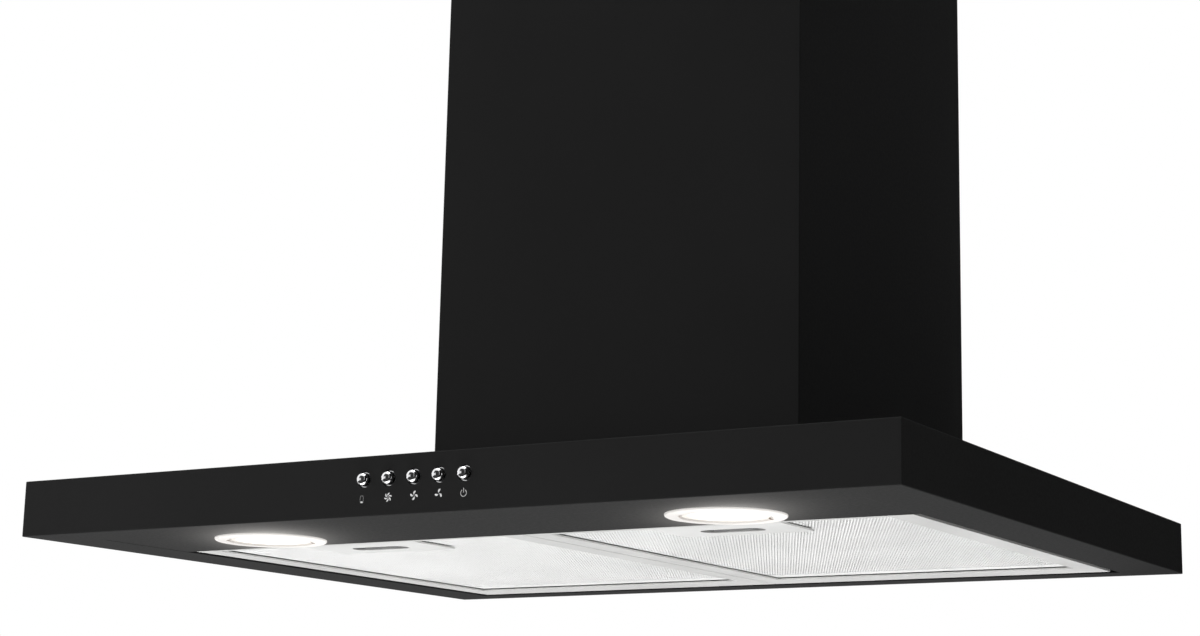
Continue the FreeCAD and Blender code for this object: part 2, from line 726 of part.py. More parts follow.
def lug_places():
    """Where the two halves are clipped together, round the outline: (y, z)."""
    step, start = size("volute_step"), size("volute_start")
    shaft_y, shaft_z = -size("shaft_setback"), size("shaft_level")
    places = []
    for angle, quarter in ((135, 1), (225, 2), (315, 3)):
        reach = start + quarter * step
        places.append((shaft_y - reach * math.cos(math.radians(angle)),
                       shaft_z + reach * math.sin(math.radians(angle))))
    return places


def scroll_half(side_name, sign):
    """One moulded half: side wall with its inlet mouth, half the rim, clip lugs and outlet flange."""
    half, wall, lug = size("volute_width") / 2, size("volute_wall"), size("lug_side")
    across = FreeCAD.Vector(sign, 0, 0)
    shaft = FreeCAD.Vector(0, -size("shaft_setback"), size("shaft_level"))

    def block(width, depth, height, y, z):
        """A block from the joint plane outwards, its corner nearest the room and the floor at y, z."""
        return Part.makeBox(width, depth, height, FreeCAD.Vector(min(0, sign * width), y, z))

    shell = volute_outline(0).extrude(across * half)
    lugs = [block(size("lug_length") / 2, lug, lug, y - lug / 2, z - lug / 2) for y, z in lug_places()]
    reach = size("duct_flange") / 2 - size("flange_step")
    flange = block(reach, 2 * reach, wall, duct_middle() - reach, outlet_level() - wall)
    hollow = volute_outline(wall).extrude(across * (half - wall))
    front, back = outlet_sides(wall)
    throat = block(half - wall, back - front, 3 * wall, front, outlet_level() - 2 * wall)
    lip_start = shaft + across * (half - size("inlet_depth"))
    lip_radius = size("inlet_radius") + size("inlet_lip")
    lip = Part.makeCylinder(lip_radius, size("inlet_depth"), lip_start, across)
    mouth = Part.makeCylinder(size("inlet_radius"), half, shaft, across)
    body = shell.multiFuse(lugs + [flange]).cut(hollow.fuse(throat)).fuse(lip).cut(mouth)
    new_shape(f"scroll_{side_name}", body.removeSplitter())


# Impeller and motor

def impeller():
    """Double-inlet wheel: centre web and hub, two end rings and forward-curved blades."""
    outer, root, thick = size("impeller_radius"), size("blade_root"), size("blade_thickness")
    width, ring = size("impeller_width"), size("end_ring")
    across = FreeCAD.Vector(1, 0, 0)
    middle = (outer + root) / 2
    lead, bow = math.radians(9), math.radians(1.5)

    def at(radius, angle):
        return FreeCAD.Vector(-width / 2, radius * math.cos(angle), radius * math.sin(angle))

    turn_by = thick / middle
    inner_face = [at(root, 0), at(middle, lead / 2 - bow), at(outer - 0.4, lead)]
    outer_face = [at(outer - 0.4, lead + turn_by), at(middle, lead / 2 - bow + turn_by), at(root, turn_by)]
    outline = Part.makePolygon(inner_face + outer_face + inner_face[:1])
    blade = Part.Face(outline).extrude(across * width)
    blades = []
    for index in range(BLADE_COUNT):
        copy = blade.copy()
        copy.rotate(FreeCAD.Vector(0, 0, 0), across, 360 * index / BLADE_COUNT)
        blades.append(copy)

    def ring_at(x, length, inside, outside=outer):
        disc = Part.makeCylinder(outside, length, FreeCAD.Vector(x, 0, 0), across)
        return disc.cut(Part.makeCylinder(inside, length, FreeCAD.Vector(x, 0, 0), across))

    bore = size("shaft_radius") + size("shaft_fit")
    web = ring_at(-size("web_thickness") / 2, size("web_thickness"), bore, root + thick)
    hub = Part.makeCylinder(size("hub_radius"), size("hub_length"), FreeCAD.Vector(0, 0, 0), across)
    hub = hub.cut(Part.makeCylinder(bore, size("hub_length"), FreeCAD.Vector(0, 0, 0), across))
    rings = [ring_at(-width / 2, ring, root), ring_at(width / 2 - ring, ring, root)]
    wheel = web.multiFuse([hub] + rings + blades).removeSplitter()
    new_shape("impeller", wheel, FreeCAD.Vector(0, -size("shaft_setback"), size("shaft_level")))


def motor_end():
    """X of the motor's outer end, where it meets its bracket."""
    return "(-volute_width / 2 - bush_gap)"


def motor_parts():
    """Motor body with its bearing bosses, the shaft and the nut that holds the wheel."""
    where = {"y": "-shaft_setback", "z": "shaft_level"}
    end = motor_end()
    bore = "(shaft_radius + running_clearance)"
    body = new_body("motor_housing", **where)
    extrude(body, "Pad", "YZ", end, "motor_step",
            circles=[("0", "0", "motor_end_radius"), ("0", "0", bore)])
    extrude(body, "Pad", "YZ", f"{end} + motor_step", "motor_length - motor_step",
            circles=[("0", "0", "motor_radius"), ("0", "0", bore)])
    shaft = new_body("motor_shaft", **where)
    extrude(shaft, "Pad", "YZ", f"{end} - bracket_sheet",
            f"hub_length + nut_height + shaft_end + bracket_sheet - {end}",
            circles=[("0", "0", "shaft_radius")])
    nut = new_body("impeller_nut", **where)
    extrude(nut, "Pad", "YZ", "hub_length", "nut_height", [hexagon("0", "0", "nut_radius")],
            [("0", "0", "shaft_radius + shaft_fit")])


def arm_ends():
    """Where the bracket's arms are fixed, from the shaft: three points a third of a turn apart."""
    reach = size("arm_reach")
    turns = [math.radians(270 + 360 * index / ARM_COUNT) for index in range(ARM_COUNT)]
    return [FreeCAD.Vector(0, reach * math.cos(angle), reach * math.sin(angle)) for angle in turns]


def motor_bracket():
    """Pressed plate: a ring on the motor's end and three arms to the inlet's rim."""
    body = new_body("motor_bracket", x=f"{motor_end()} - bracket_sheet", y="-shaft_setback",
                    z="shaft_level")
    extrude(body, "Pad", "YZ", "0", "bracket_sheet", circles=[("0", "0", "bracket_hub")])
    arm = extrude(body, "Pad", "YZ", "0", "bracket_sheet",
                  [box("-arm_width / 2", "arm_width / 2", "-arm_reach - arm_width / 2", "-bracket_hub / 2")])
    pattern = body.newObject("PartDesign::PolarPattern", "motor_bracket_arms")
    pattern.Originals = [arm]
    axis = next(item for item in body.Origin.OriginFeatures if item.Role == "X_Axis")
    pattern.Axis = (axis, [""])
    pattern.Angle = 360
    pattern.Occurrences = ARM_COUNT
    body.Tip = pattern
    extrude(body, "Pocket", "YZ", "0", "bracket_sheet",
            circles=[("0", "0", "shaft_radius + running_clearance")])


def motor_bushes():
    """Rubber feet between the bracket's arms and the scroll's side wall."""
    base = FreeCAD.Vector(-size("volute_width") / 2, -size("shaft_setback"), size("shaft_level"))
    outwards = FreeCAD.Vector(-1, 0, 0)
    feet = [Part.makeCylinder(size("bush_radius"), size("bush_gap"), base + offset, outwards)
            for offset in arm_ends()]
    new_shape("motor_bushes", Part.makeCompound(feet))


# Outlet

def outlet_collar():
    """Round duct spigot on the box's top, with the pin's holes and a stop under each flap."""
    body = new_body("outlet_collar", y=DUCT_Y)
    half = "duct_flange / 2"
    bore = "(duct_radius - duct_wall)"
    extrude(body, "Pad", "XY", BOX_TOP, "flange_thickness", [box(f"-{half}", half, f"-{half}", half)],
            [("0", "0", bore)])
    extrude(body, "Pad", "XY", COLLAR_BASE, "collar_height",
            circles=[("0", "0", "duct_radius"), ("0", "0", bore)])
    stop_top = f"({FLAP_Z} - flap_thickness / 2 - seat_gap)"
    stops = [box("-stop_width / 2", "stop_width / 2", f"{sign} * ({bore} + seat_gap)",
                 f"{sign} * ({bore} - stop_depth)") for sign in (-1, 1)]
    extrude(body, "Pad", "XY", f"{stop_top} - stop_thickness", "stop_thickness", stops)
    extrude(body, "Pocket", "YZ", "-duct_radius", "2 * duct_radius",
            circles=[("0", FLAP_Z, "pin_radius")])


def damper_flap(node, half_turn):
    """Half-round flap with its knuckle on the common pin; the other flap is this one turned round."""
    body = new_body(node, y=DUCT_Y, z=FLAP_Z)
    if half_turn:
        body.Placement = FreeCAD.Placement(FreeCAD.Vector(0, 0, 0), FreeCAD.Rotation(180, 0, 0))
        place(body, y=DUCT_Y, z=FLAP_Z)
    reach = "(duct_radius - duct_wall - flap_margin)"
    extrude(body, "Pad", "XY", "-flap_thickness / 2", "flap_thickness", circles=[("0", "0", reach)])
    extrude(body, "Pocket", "XY", "-flap_thickness / 2", "flap_thickness",
            [box(f"-{reach} - flap_margin", f"{reach} + flap_margin", "-flap_split", f"{reach} + flap_margin")])
    extrude(body, "Pad", "XY", "-flap_thickness / 2", "flap_thickness",
            [box("knuckle_start", "knuckle_start + knuckle_length", "-2 * flap_split", "0")])
    extrude(body, "Pad", "YZ", "knuckle_start", "knuckle_length", circles=[("0", "0", "knuckle_radius")])
    extrude(body, "Pocket", "YZ", f"-{reach}", f"2 * {reach}",
            circles=[("0", "0", "pin_radius + running_clearance")])


def flap_pin():
    body = new_body("flap_pin", y=DUCT_Y, z=FLAP_Z)
    extrude(body, "Pad", "YZ", "-duct_radius", "2 * duct_radius", circles=[("0", "0", "pin_radius")])


# Electrical parts

def capacitor_parts():
    """Motor capacitor, upright in a sprung band on the box's right wall."""
    middle = "(box_width / 2 - box_sheet - clip_band - capacitor_radius - capacitor_gap)"
    body = new_body("capacitor", x=middle, y="-capacitor_setback", z="capacitor_level")
    extrude(body, "Pad", "XY", "0", "capacitor_length", circles=[("0", "0", "capacitor_radius")])
    for sign in (-1, 1):
        blade = f"{sign} * blade_spacing / 2"
        extrude(body, "Pad", "XY", "capacitor_length", "blade_height",
                [box(f"{blade} - blade_sheet / 2", f"{blade} + blade_sheet / 2", "-blade_width / 2",
                     "blade_width / 2")])
    clip = new_body("capacitor_clip", x=middle, y="-capacitor_setback",
                    z="capacitor_level + capacitor_length / 2")
    inner = "(capacitor_radius + clip_clearance)"
    outer = "(capacitor_radius + clip_clearance + clip_band)"
    wall = f"(box_width / 2 - box_sheet - {middle})"
    extrude(clip, "Pad", "XY", "0", "band_height",
            [box(f"-{outer}", wall, f"-{outer}", outer), box(f"-{inner}", inner, f"-{inner}", inner)])


def terminal_parts():
    """Mains terminal box on the blower box's top, its lid and the cable gland in its end."""
    where = {"x": "terminal_start", "y": "-terminal_setback - terminal_depth", "z": BOX_TOP}
    plan = box("0", "terminal_length", "0", "terminal_depth")
    body = new_body("terminal_box", **where)
    extrude(body, "Pad", "XY", "0", "terminal_height", [plan])
    extrude(body, "Pocket", "XY", "terminal_wall", "terminal_height - terminal_wall",
            [box("terminal_wall", "terminal_length - terminal_wall",
                 "terminal_wall", "terminal_depth - terminal_wall")])
    extrude(body, "Pocket", "YZ", "0", "terminal_wall",
            circles=[("terminal_depth / 2", "terminal_height / 2", "gland_neck")])
    rail = new_body("terminal_block", **where)
    extrude(rail, "Pad", "XY", "terminal_wall", "(terminal_height - 2 * terminal_wall) / 2",
            [box("0.35 * terminal_length", "terminal_length - 2 * terminal_wall",
                 "0.3 * terminal_depth", "0.7 * terminal_depth")])
    lid = new_body("terminal_lid", **where)
    extrude(lid, "Pad", "XY", "terminal_height", "terminal_lid", [plan])
    gland = new_body("cable_gland", x="terminal_start", y="-terminal_setback - terminal_depth / 2",
                     z=f"{BOX_TOP} + terminal_height / 2")
    extrude(gland, "Pad", "YZ", "0", "terminal_wall + gland_nut",
            circles=[("0", "0", "gland_neck - gland_clearance"), ("0", "0", "gland_bore")])
    extrude(gland, "Pad", "YZ", "-gland_length", "gland_length",
            [hexagon("0", "0", "gland_radius")], [("0", "0", "gland_bore")])


# Chimney

def cover_outline(inset):
    """Plan of a chimney cover, open to the wall, with its two edges turned in along the wall."""
    half, depth = f"(chimney_width / 2 - {inset})", f"(chimney_depth - {inset})"
    back = f"(-{inset})"
    turned, inner = f"({half} - chimney_return)", f"({half} - chimney_sheet)"
    right = [(half, f"-{depth}"), (half, back), (turned, back), (turned, f"{back} - chimney_sheet"),
             (inner, f"{back} - chimney_sheet"), (inner, f"chimney_sheet - {depth}")]
    left = [(f"-{x}", y) for x, y in reversed(right)]
    return right + left


def round_cover(body, inset):
    half, depth = size("chimney_width") / 2 - inset, size("chimney_depth") - inset
    round_edges(body, "fold_radius", lambda middle: near(abs(middle.x), half) and near(middle.y, -depth))


def chimney_lower():
    body = new_body("chimney_lower")
    extrude(body, "Pad", "XY", "canopy_height", "chimney_height", [cover_outline("0")])
    round_cover(body, 0)


def chimney_upper():
    """Inner cover, telescoped up by its rise, with vent slots near the top of both sides."""
    body = new_body("chimney_upper", z="canopy_height + chimney_rise")
    inset = "(chimney_sheet + chimney_gap)"
    extrude(body, "Pad", "XY", "0", "chimney_height", [cover_outline(inset)])
    first = extrude(body, "Pocket", "YZ", "-chimney_width / 2", "chimney_width",
                    [box("-chimney_depth / 2 - vent_length / 2", "-chimney_depth / 2 + vent_length / 2",
                         "chimney_height - vent_drop - vent_width", "chimney_height - vent_drop")])
    pattern = body.newObject("PartDesign::LinearPattern", "chimney_upper_vents")
    pattern.Originals = [first]
    pattern.Direction = (first.Profile[0], ["V_Axis"])
    pattern.Reversed = True
    pattern.Occurrences = VENT_COUNT
    pattern.setExpression("Length", bound(f"({VENT_COUNT} - 1) * vent_pitch"))
    body.Tip = pattern
    round_cover(body, size("chimney_sheet") + size("chimney_gap"))


UPPER_INNER = "(chimney_width / 2 - 2 * chimney_sheet - chimney_gap)"


def wall_bracket():
    """Folded strip: flat on the wall, stepped out past the cover's edges, arms along its sides."""
    top = "canopy_height + chimney_rise + chimney_height - bracket_drop"
    body = new_body("wall_bracket", z=f"{top} - wall_bracket_height")
    thick = "wall_bracket_sheet"
    step, arm = "wall_bracket_step", "(wall_bracket_step + wall_bracket_arm)"
    foot = "wall_bracket_foot"
    right = [(foot, "0"), (foot, f"-{step}"), (UPPER_INNER, f"-{step}"), (UPPER_INNER, f"-{arm}"),
             (f"{UPPER_INNER} - {thick}", f"-{arm}"), (f"{UPPER_INNER} - {thick}", f"-{step} - {thick}"),
             (f"{foot} - {thick}", f"-{step} - {thick}"), (f"{foot} - {thick}", f"-{thick}")]
    left = [(f"-({x})", y) for x, y in reversed(right)]
    extrude(body, "Pad", "XY", "0", "wall_bracket_height", [right + left])
    straight = "(slot_length / 2 - slot_radius)"
    middle = "wall_bracket_height / 2"
    for sign in (-1, 1):
        centre = f"({sign} * slot_spacing / 2)"
        extrude(body, "Pocket", "XZ", f"-{thick}", thick,
                [box(f"{centre} - {straight}", f"{centre} + {straight}",
                     f"{middle} - slot_radius", f"{middle} + slot_radius")])
        extrude(body, "Pocket", "XZ", f"-{thick}", thick,
                circles=[(f"{centre} + ({end}) * {straight}", middle, "slot_radius") for end in (-1, 1)])


# Assembly

canopy_shell()
lamp_panel()
lamp_clips()
led_driver()
for side_name, sign in (("left", -1), ("right", 1)):
    lamp(side_name, sign)
    filter_frame(side_name, sign)
    filter_mesh(side_name, sign)
    filter_core(side_name, sign)
    filter_handle(side_name, sign)
    filter_latch(side_name, sign)
    latch_spring(side_name, sign)
    scroll_half(side_name, sign)
for node, across in zip(BUTTONS, button_places()):
    push_button(node, across)
switch_housing()
blower_box()
impeller()
motor_parts()
motor_bracket()
motor_bushes()
outlet_collar()
damper_flap("damper_flap_front", False)
damper_flap("damper_flap_rear", True)
flap_pin()
capacitor_parts()
terminal_parts()
chimney_lower()
chimney_upper()
wall_bracket()
doc.recompute()

for item in doc.Objects:
    if "Invalid" in item.State or "Error" in item.State:
        raise RuntimeError(f"{item.Label}: {item.State}")
os.makedirs("parts", exist_ok=True)
for item in subparts:
    if item.Shape.isNull() or not item.Shape.isValid():
        raise RuntimeError(f"{item.Label}: no valid shape")
    item.Shape.exportStep(f"parts/{item.Label}.step")
print(len(subparts), "sub-parts written")
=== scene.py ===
import math

import bmesh
import bpy
import numpy as np
from mathutils import Matrix, Vector


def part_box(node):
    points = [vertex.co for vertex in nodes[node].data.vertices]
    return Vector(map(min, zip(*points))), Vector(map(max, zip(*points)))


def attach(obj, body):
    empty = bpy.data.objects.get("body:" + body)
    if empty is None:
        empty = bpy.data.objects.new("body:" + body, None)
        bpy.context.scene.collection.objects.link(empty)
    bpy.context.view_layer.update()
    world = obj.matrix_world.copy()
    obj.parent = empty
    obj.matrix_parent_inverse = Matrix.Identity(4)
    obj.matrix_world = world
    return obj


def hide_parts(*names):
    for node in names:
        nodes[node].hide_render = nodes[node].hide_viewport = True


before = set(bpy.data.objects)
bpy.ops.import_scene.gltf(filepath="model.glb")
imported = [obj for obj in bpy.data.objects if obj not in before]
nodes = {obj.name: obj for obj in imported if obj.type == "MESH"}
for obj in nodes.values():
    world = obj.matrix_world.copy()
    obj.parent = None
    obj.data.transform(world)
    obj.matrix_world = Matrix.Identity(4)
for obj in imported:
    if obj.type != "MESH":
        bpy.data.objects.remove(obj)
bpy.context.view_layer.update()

scene = bpy.context.scene
scene.view_settings.view_transform = "Standard"
print("frame loaded:", len(nodes), "nodes")


# camera, stage and light

cameraView = {
    "place": (0.73429, -1.50289, -0.15179),
    "azimuth": 28.626,  # degrees left of straight at the wall
    "rise": 11.580,
    "roll": 0.720,
    "lens": 66.151,  # mm on a 36 mm sensor
    "shift": (-0.08016, 0.01816),  # the photograph is a crop off the lens axis
}


def makeCamera(c):
    # looks along (-sin az cos el, cos az cos el, sin el), then rolls about that line
    az, el, roll = (math.radians(c[k]) for k in ("azimuth", "rise", "roll"))
    ahead = Vector((-math.sin(az) * math.cos(el), math.cos(az) * math.cos(el), math.sin(el)))
    right = Vector((math.cos(az), math.sin(az), 0))
    up = right.cross(ahead)
    right, up = right * math.cos(roll) + up * math.sin(roll), up * math.cos(roll) - right * math.sin(roll)
    camera = bpy.data.objects.new("camera", bpy.data.cameras.new("camera"))
    scene.collection.objects.link(camera)
    camera.matrix_world = Matrix((right, up, -ahead)).transposed().to_4x4()
    camera.location = c["place"]
    camera.data.lens = c["lens"]
    camera.data.sensor_width = 36
    camera.data.shift_x, camera.data.shift_y = c["shift"]
    camera.data.clip_start, camera.data.clip_end = 0.05, 60
    scene.camera = camera


makeCamera(cameraView)


def put(tree, kind, inputs=(), **settings):
    # adds a shader node; an input that is a socket is linked, any other is set
    node = tree.nodes.new("ShaderNode" + kind)
    for key, value in settings.items():
        setattr(node, key, value)
    for key, value in dict(inputs).items():
        if isinstance(value, bpy.types.NodeSocket):
            tree.links.new(value, node.inputs[key])
        else:
            node.inputs[key].default_value = value
    return node


def maths(tree, operation, *values):
    # one step of arithmetic on numbers or sockets
    return put(tree, "Math", dict(enumerate(values)), operation=operation).outputs[0]


def measured(tree, operation, *vectors):
    # the length of one vector, or the dot product of two
    return put(tree, "VectorMath", dict(enumerate(vectors)), operation=operation).outputs["Value"]


def spread(tree, value, low, high, start=0.0, end=1.0):
    # low at start and high at end, straight in between and held beyond them
    return put(tree, "MapRange", {0: value, 1: start, 2: end, 3: low, 4: high}).outputs[0]


def noise(tree, coords, scale, detail, **more):
    # clouds between 0 and 1, with scale in waves per metre
    return put(tree, "TexNoise", {"Vector": coords, "Scale": scale, "Detail": detail, **more}).outputs[0]


def seenDirectly(tree):
    # 1 for camera, mirror and see-through rays, 0 for the rays that light things
    path = put(tree, "LightPath").outputs
    some = maths(tree, "MAXIMUM", path["Is Camera Ray"], path["Is Glossy Ray"])
    return maths(tree, "MAXIMUM", some, path["Is Transmission Ray"])


def bareMaterial(name):
    # a material with an empty node tree
    mat = bpy.data.materials.new(name)
    mat.use_nodes = True
    mat.node_tree.nodes.clear()
    return mat, mat.node_tree


stage = {
    "floorLevel": -0.65,
    "floorRadius": 9.0,
    "floorMiddle": -0.25,  # along Y, under the hood's middle
    "rings": 24,
    "spokes": 96,
    "worldLight": 0.28,
    "fadeFrom": 1.0,
    "fadeTo": 3.2,
    "paper": (0.84, 0.88),
    "grain": 140.0,  # waves per metre
}


def makeStage(s):
    # a white world that lights less than it shows, and a floor of rings, each radius the square of its share
    # of the way out, pale under the hood and fading to white
    white = {"Color": (1, 1, 1, 1), "Strength": 1.0}
    world = bpy.data.worlds.new("studio")
    scene.world = world
    world.use_nodes = True
    tree = world.node_tree
    tree.nodes.clear()
    dim = put(tree, "Background", {**white, "Strength": s["worldLight"]})
    full = put(tree, "Background", white)
    mix = put(tree, "MixShader", {0: seenDirectly(tree), 1: dim.outputs[0], 2: full.outputs[0]})
    tree.links.new(mix.outputs[0], put(tree, "OutputWorld").inputs[0])

    rings, spokes = s["rings"], s["spokes"]
    radius = s["floorRadius"] * np.linspace(0, 1, rings) ** 2
    angle = np.linspace(0, 2 * np.pi, spokes, endpoint=False)
    points = np.stack([radius[:, None] * np.cos(angle), radius[:, None] * np.sin(angle) + s["floorMiddle"],
                       np.full((rings, spokes), s["floorLevel"])], -1)
    floor = meshOf("floor", points, gridFaces(rings, spokes, wrapColumns=True)[:, ::-1])
    mat, tree = bareMaterial("floorPaper")
    coords = put(tree, "TexCoord").outputs["Object"]
    fade = put(tree, "MapRange", {0: measured(tree, "LENGTH", coords), 1: s["fadeFrom"], 2: s["fadeTo"]},
               interpolation_type="SMOOTHSTEP").outputs[0]
    tint = spread(tree, noise(tree, coords, s["grain"], 4.0), *s["paper"])
    paper = put(tree, "BsdfDiffuse", {"Color": tint})
    glow = put(tree, "Emission", white)
    blend = maths(tree, "MULTIPLY", fade, seenDirectly(tree))
    shade = put(tree, "MixShader", {0: blend, 1: paper.outputs[0], 2: glow.outputs[0]})
    under = put(tree, "BsdfTransparent")
    side = put(tree, "NewGeometry").outputs["Backfacing"]
    both = put(tree, "MixShader", {0: side, 1: shade.outputs[0], 2: under.outputs[0]})
    tree.links.new(both.outputs[0], put(tree, "OutputMaterial").inputs[0])
    floor.data.materials.append(mat)


def gridFaces(rows, columns, wrapRows=False, wrapColumns=False):
    # quads between neighbours of a grid of points, row by row
    i = np.arange(rows if wrapRows else rows - 1)[:, None]
    j = np.arange(columns if wrapColumns else columns - 1)[None, :]
    down, across = (i + 1) % rows, (j + 1) % columns
    corners = [i * columns + j, i * columns + across, down * columns + across, down * columns + j]
    return np.stack(corners, -1).reshape(-1, 4)


def meshOf(name, points, faces, smooth=False):
    # an object whose mesh holds the given points and quads, placed as they are
    mesh = bpy.data.meshes.new(name)
    flat = np.ascontiguousarray(points, dtype=np.float32).reshape(-1, 3)
    mesh.vertices.add(len(flat))
    mesh.vertices.foreach_set("co", flat.ravel())
    mesh.loops.add(faces.size)
    mesh.loops.foreach_set("vertex_index", np.ascontiguousarray(faces, dtype=np.int32).ravel())
    mesh.polygons.add(len(faces))
    mesh.polygons.foreach_set("loop_start", np.arange(len(faces), dtype=np.int32) * faces.shape[1])
    mesh.update(calc_edges=True)
    mesh.validate()
    mesh.shade_smooth() if smooth else mesh.shade_flat()
    piece = bpy.data.objects.new(name, mesh)
    scene.collection.objects.link(piece)
    return piece


def sealed(piece, sharp=None):
    # merges the doubles of a closed form and turns its faces outwards
    form = bmesh.new()
    form.from_mesh(piece.data)
    bmesh.ops.remove_doubles(form, verts=form.verts, dist=2e-6)
    bmesh.ops.dissolve_degenerate(form, edges=form.edges, dist=1e-7)
    bmesh.ops.recalc_face_normals(form, faces=form.faces)
    form.to_mesh(piece.data)
    form.free()
    if sharp is not None:
        piece.data.shade_smooth()
        piece.data.set_sharp_from_angle(angle=math.radians(sharp))
    return piece


makeStage(stage)

lights = {
    "key": {"place": (-1.5, -3.0, -0.1), "aim": (0, -0.3, 0.1), "size": 1.6,
            "power": 37, "spread": 180, "gloss": False},
    "bounce": {"place": (0.0, -0.5, -0.645), "aim": (0, -0.5, 1), "size": 2.2,
               "power": 14.8, "spread": 80, "gloss": True},
    "rear": {"place": (0.4, 2.6, 1.2), "aim": (0, 0, 0.2), "size": 1.6,
             "power": 24, "spread": 120, "gloss": False},
    "top": {"place": (0.0, -0.2, 2.6), "aim": (0, -0.25, 0), "size": 1.8,
            "power": 8, "spread": 90, "gloss": True},
}


def makeLights(table):
    # square lamps that no camera sees; gloss says whether reflections do
    for name, l in table.items():
        lamp = bpy.data.lights.new(name, "AREA")
        lamp.shape, lamp.size, lamp.energy = "SQUARE", l["size"], l["power"]
        lamp.spread = math.radians(l["spread"])
        holder = bpy.data.objects.new(name, lamp)
        scene.collection.objects.link(holder)
        holder.location = l["place"]
        way = Vector(l["aim"]) - Vector(l["place"])
        holder.rotation_euler = way.to_track_quat("-Z", "Y").to_euler()
        holder.visible_camera = False
        holder.visible_glossy = l["gloss"]


makeLights(lights)

flags = {
    # cards that only reflections see: a grey wall, dark to the hood's right and over its front
    "wallCard": {"corner": (-3.5, 0.35, -0.64), "across": (3.66, 0, 0), "up": (0, 0, 2.6), "grey": 0.20},
    "darkCorner": {"corner": (0.16, 0.35, -0.64), "across": (0.8, 0, 0), "up": (0, 0, 2.6), "grey": 0.008},
    "rightCard": {"corner": (0.96, -1.3, -0.64), "across": (0, 1.65, 0), "up": (0, 0, 2.6), "grey": 0.008},
    "frontHigh": {"corner": (-3.0, -3.4, 1.0), "across": (6.0, 0, 0), "up": (0, 0, 3.2), "grey": 0.04},
    "frontLeft": {"corner": (-3.0, -3.4, -0.64), "across": (2.4, 0, 0), "up": (0, 0, 1.64), "grey": 0.75},
    "frontRight": {"corner": (-0.6, -3.4, -0.64), "across": (3.6, 0, 0), "up": (0, 0, 1.64), "grey": 0.03},
    "frontFloor": {"corner": (-2.2, -3.4, -0.64), "across": (5.0, 0, 0), "up": (0, 2.6, 0), "grey": 0.04},
}


def makeFlags(table):
    # each card is a parallelogram of one grey that only reflections see
    for name, f in table.items():
        corner, across, up = (np.array(f[k], float) for k in ("corner", "across", "up"))
        points = np.stack([corner, corner + across, corner + across + up, corner + up])
        card = meshOf(name, points, np.array([[0, 1, 2, 3]]))
        mat, tree = bareMaterial(name)
        shine = put(tree, "Emission", {"Color": (f["grey"],) * 3 + (1,), "Strength": 1.0})
        tree.links.new(shine.outputs[0], put(tree, "OutputMaterial").inputs[0])
        card.data.materials.append(mat)
        card.visible_camera = card.visible_diffuse = card.visible_shadow = False
        card.visible_transmission = card.visible_volume_scatter = False


makeFlags(flags)
print("camera, stage and lights made")


# finishes

def finish(name, base, metal, rough, spec=0.5):
    # a new material, its tree, its main shader and the object coordinates
    mat = bpy.data.materials.new(name)
    mat.use_nodes = True
    tree = mat.node_tree
    shader = tree.nodes["Principled BSDF"]
    shader.inputs["Base Color"].default_value = (*base, 1)
    shader.inputs["Metallic"].default_value = metal
    shader.inputs["Roughness"].default_value = rough
    shader.inputs["Specular IOR Level"].default_value = spec
    return mat, tree, shader, put(tree, "TexCoord").outputs["Object"]


def edgeWearAndHighlight(tree, radius):
    # 0 on flats and up to 1 along edges: how far the rounded normal leaves the true one, the mask for edges made
    #                                     paler as rubbed wear and as painted highlight; and that normal
    rounded = put(tree, "Bevel", {"Radius": radius}, samples=4).outputs[0]
    turn = measured(tree, "DOT_PRODUCT", rounded, put(tree, "NewGeometry").outputs["Normal"])
    return spread(tree, turn, 0.0, 1.0, 0.995, 0.75), rounded


def blendColour(tree, amount, low, high):
    # low where the amount is 0 and high where it is 1; low may itself be a blend
    low = low if isinstance(low, bpy.types.NodeSocket) else (*low, 1)
    return put(tree, "Mix", {0: amount, 6: low, 7: (*high, 1)}, data_type="RGBA").outputs[2]


def scaled(colour, share):
    # the colour times a share, held at 1
    return tuple(min(1, c * share) for c in colour)


def surface(tree, shader, tone, rough, bump, rounded=None):
    # links colour, roughness and a bump of (strength, lift in metres, height) over the rounded normal
    inputs = dict(zip(("Strength", "Distance", "Height"), bump))
    if rounded is not None:
        inputs["Normal"] = rounded
    normal = put(tree, "Bump", inputs).outputs[0]
    for socket, name in ((tone, "Base Color"), (rough, "Roughness"), (normal, "Normal")):
        if socket is not None:
            tree.links.new(socket, shader.inputs[name])


satinBlack = {
    "colour": (0.0160, 0.0160, 0.0160),
    # edge colour: partly rubbed wear, partly painted highlight
    "worn": (0.060, 0.060, 0.061),
    "rough": (0.46, 0.58),
    "specular": 0.08,
    "grain": 2600,  # powder coat texture, per metre
    "lift": 0.00006,
    "glow": 0.0,  # how strongly the painted glow round the lamps shows on it
}


def satinPaint(name, p):
    # powder coat: slow clouds in tone, specks in sheen, orange peel, and edges paler in patches, partly rubbed
    # wear and partly painted highlight
    mat, tree, shader, coords = finish(name, p["colour"], 0.0, 0.45, p["specular"])
    wearAndHighlight, rounded = edgeWearAndHighlight(tree, 0.0009)
    cloud = noise(tree, coords, 9.0, 3.0)
    speck = noise(tree, coords, p["grain"] / 6, 5.0, Roughness=0.7)
    peel = noise(tree, coords, p["grain"] / 2, 2.0)
    tone = blendColour(tree, spread(tree, cloud, 0.0, 1.0, 0.35, 0.65), scaled(p["colour"], 0.93), p["colour"])
    # paler edges in patches: partly rubbed wear, partly painted highlight
    patchy = maths(tree, "MULTIPLY", wearAndHighlight, spread(tree, speck, 0.15, 1.0, 0.35, 0.6))
    surface(tree, shader, blendColour(tree, patchy, tone, p["worn"]),
            spread(tree, speck, *p["rough"], 0.3, 0.7), (0.35, p["lift"], peel), rounded)
    # painted glow: emission round the lamps standing in for their scattered light
    if p["glow"]:
        addPaintedGlow(tree, shader, coords, p["glow"])
    return mat


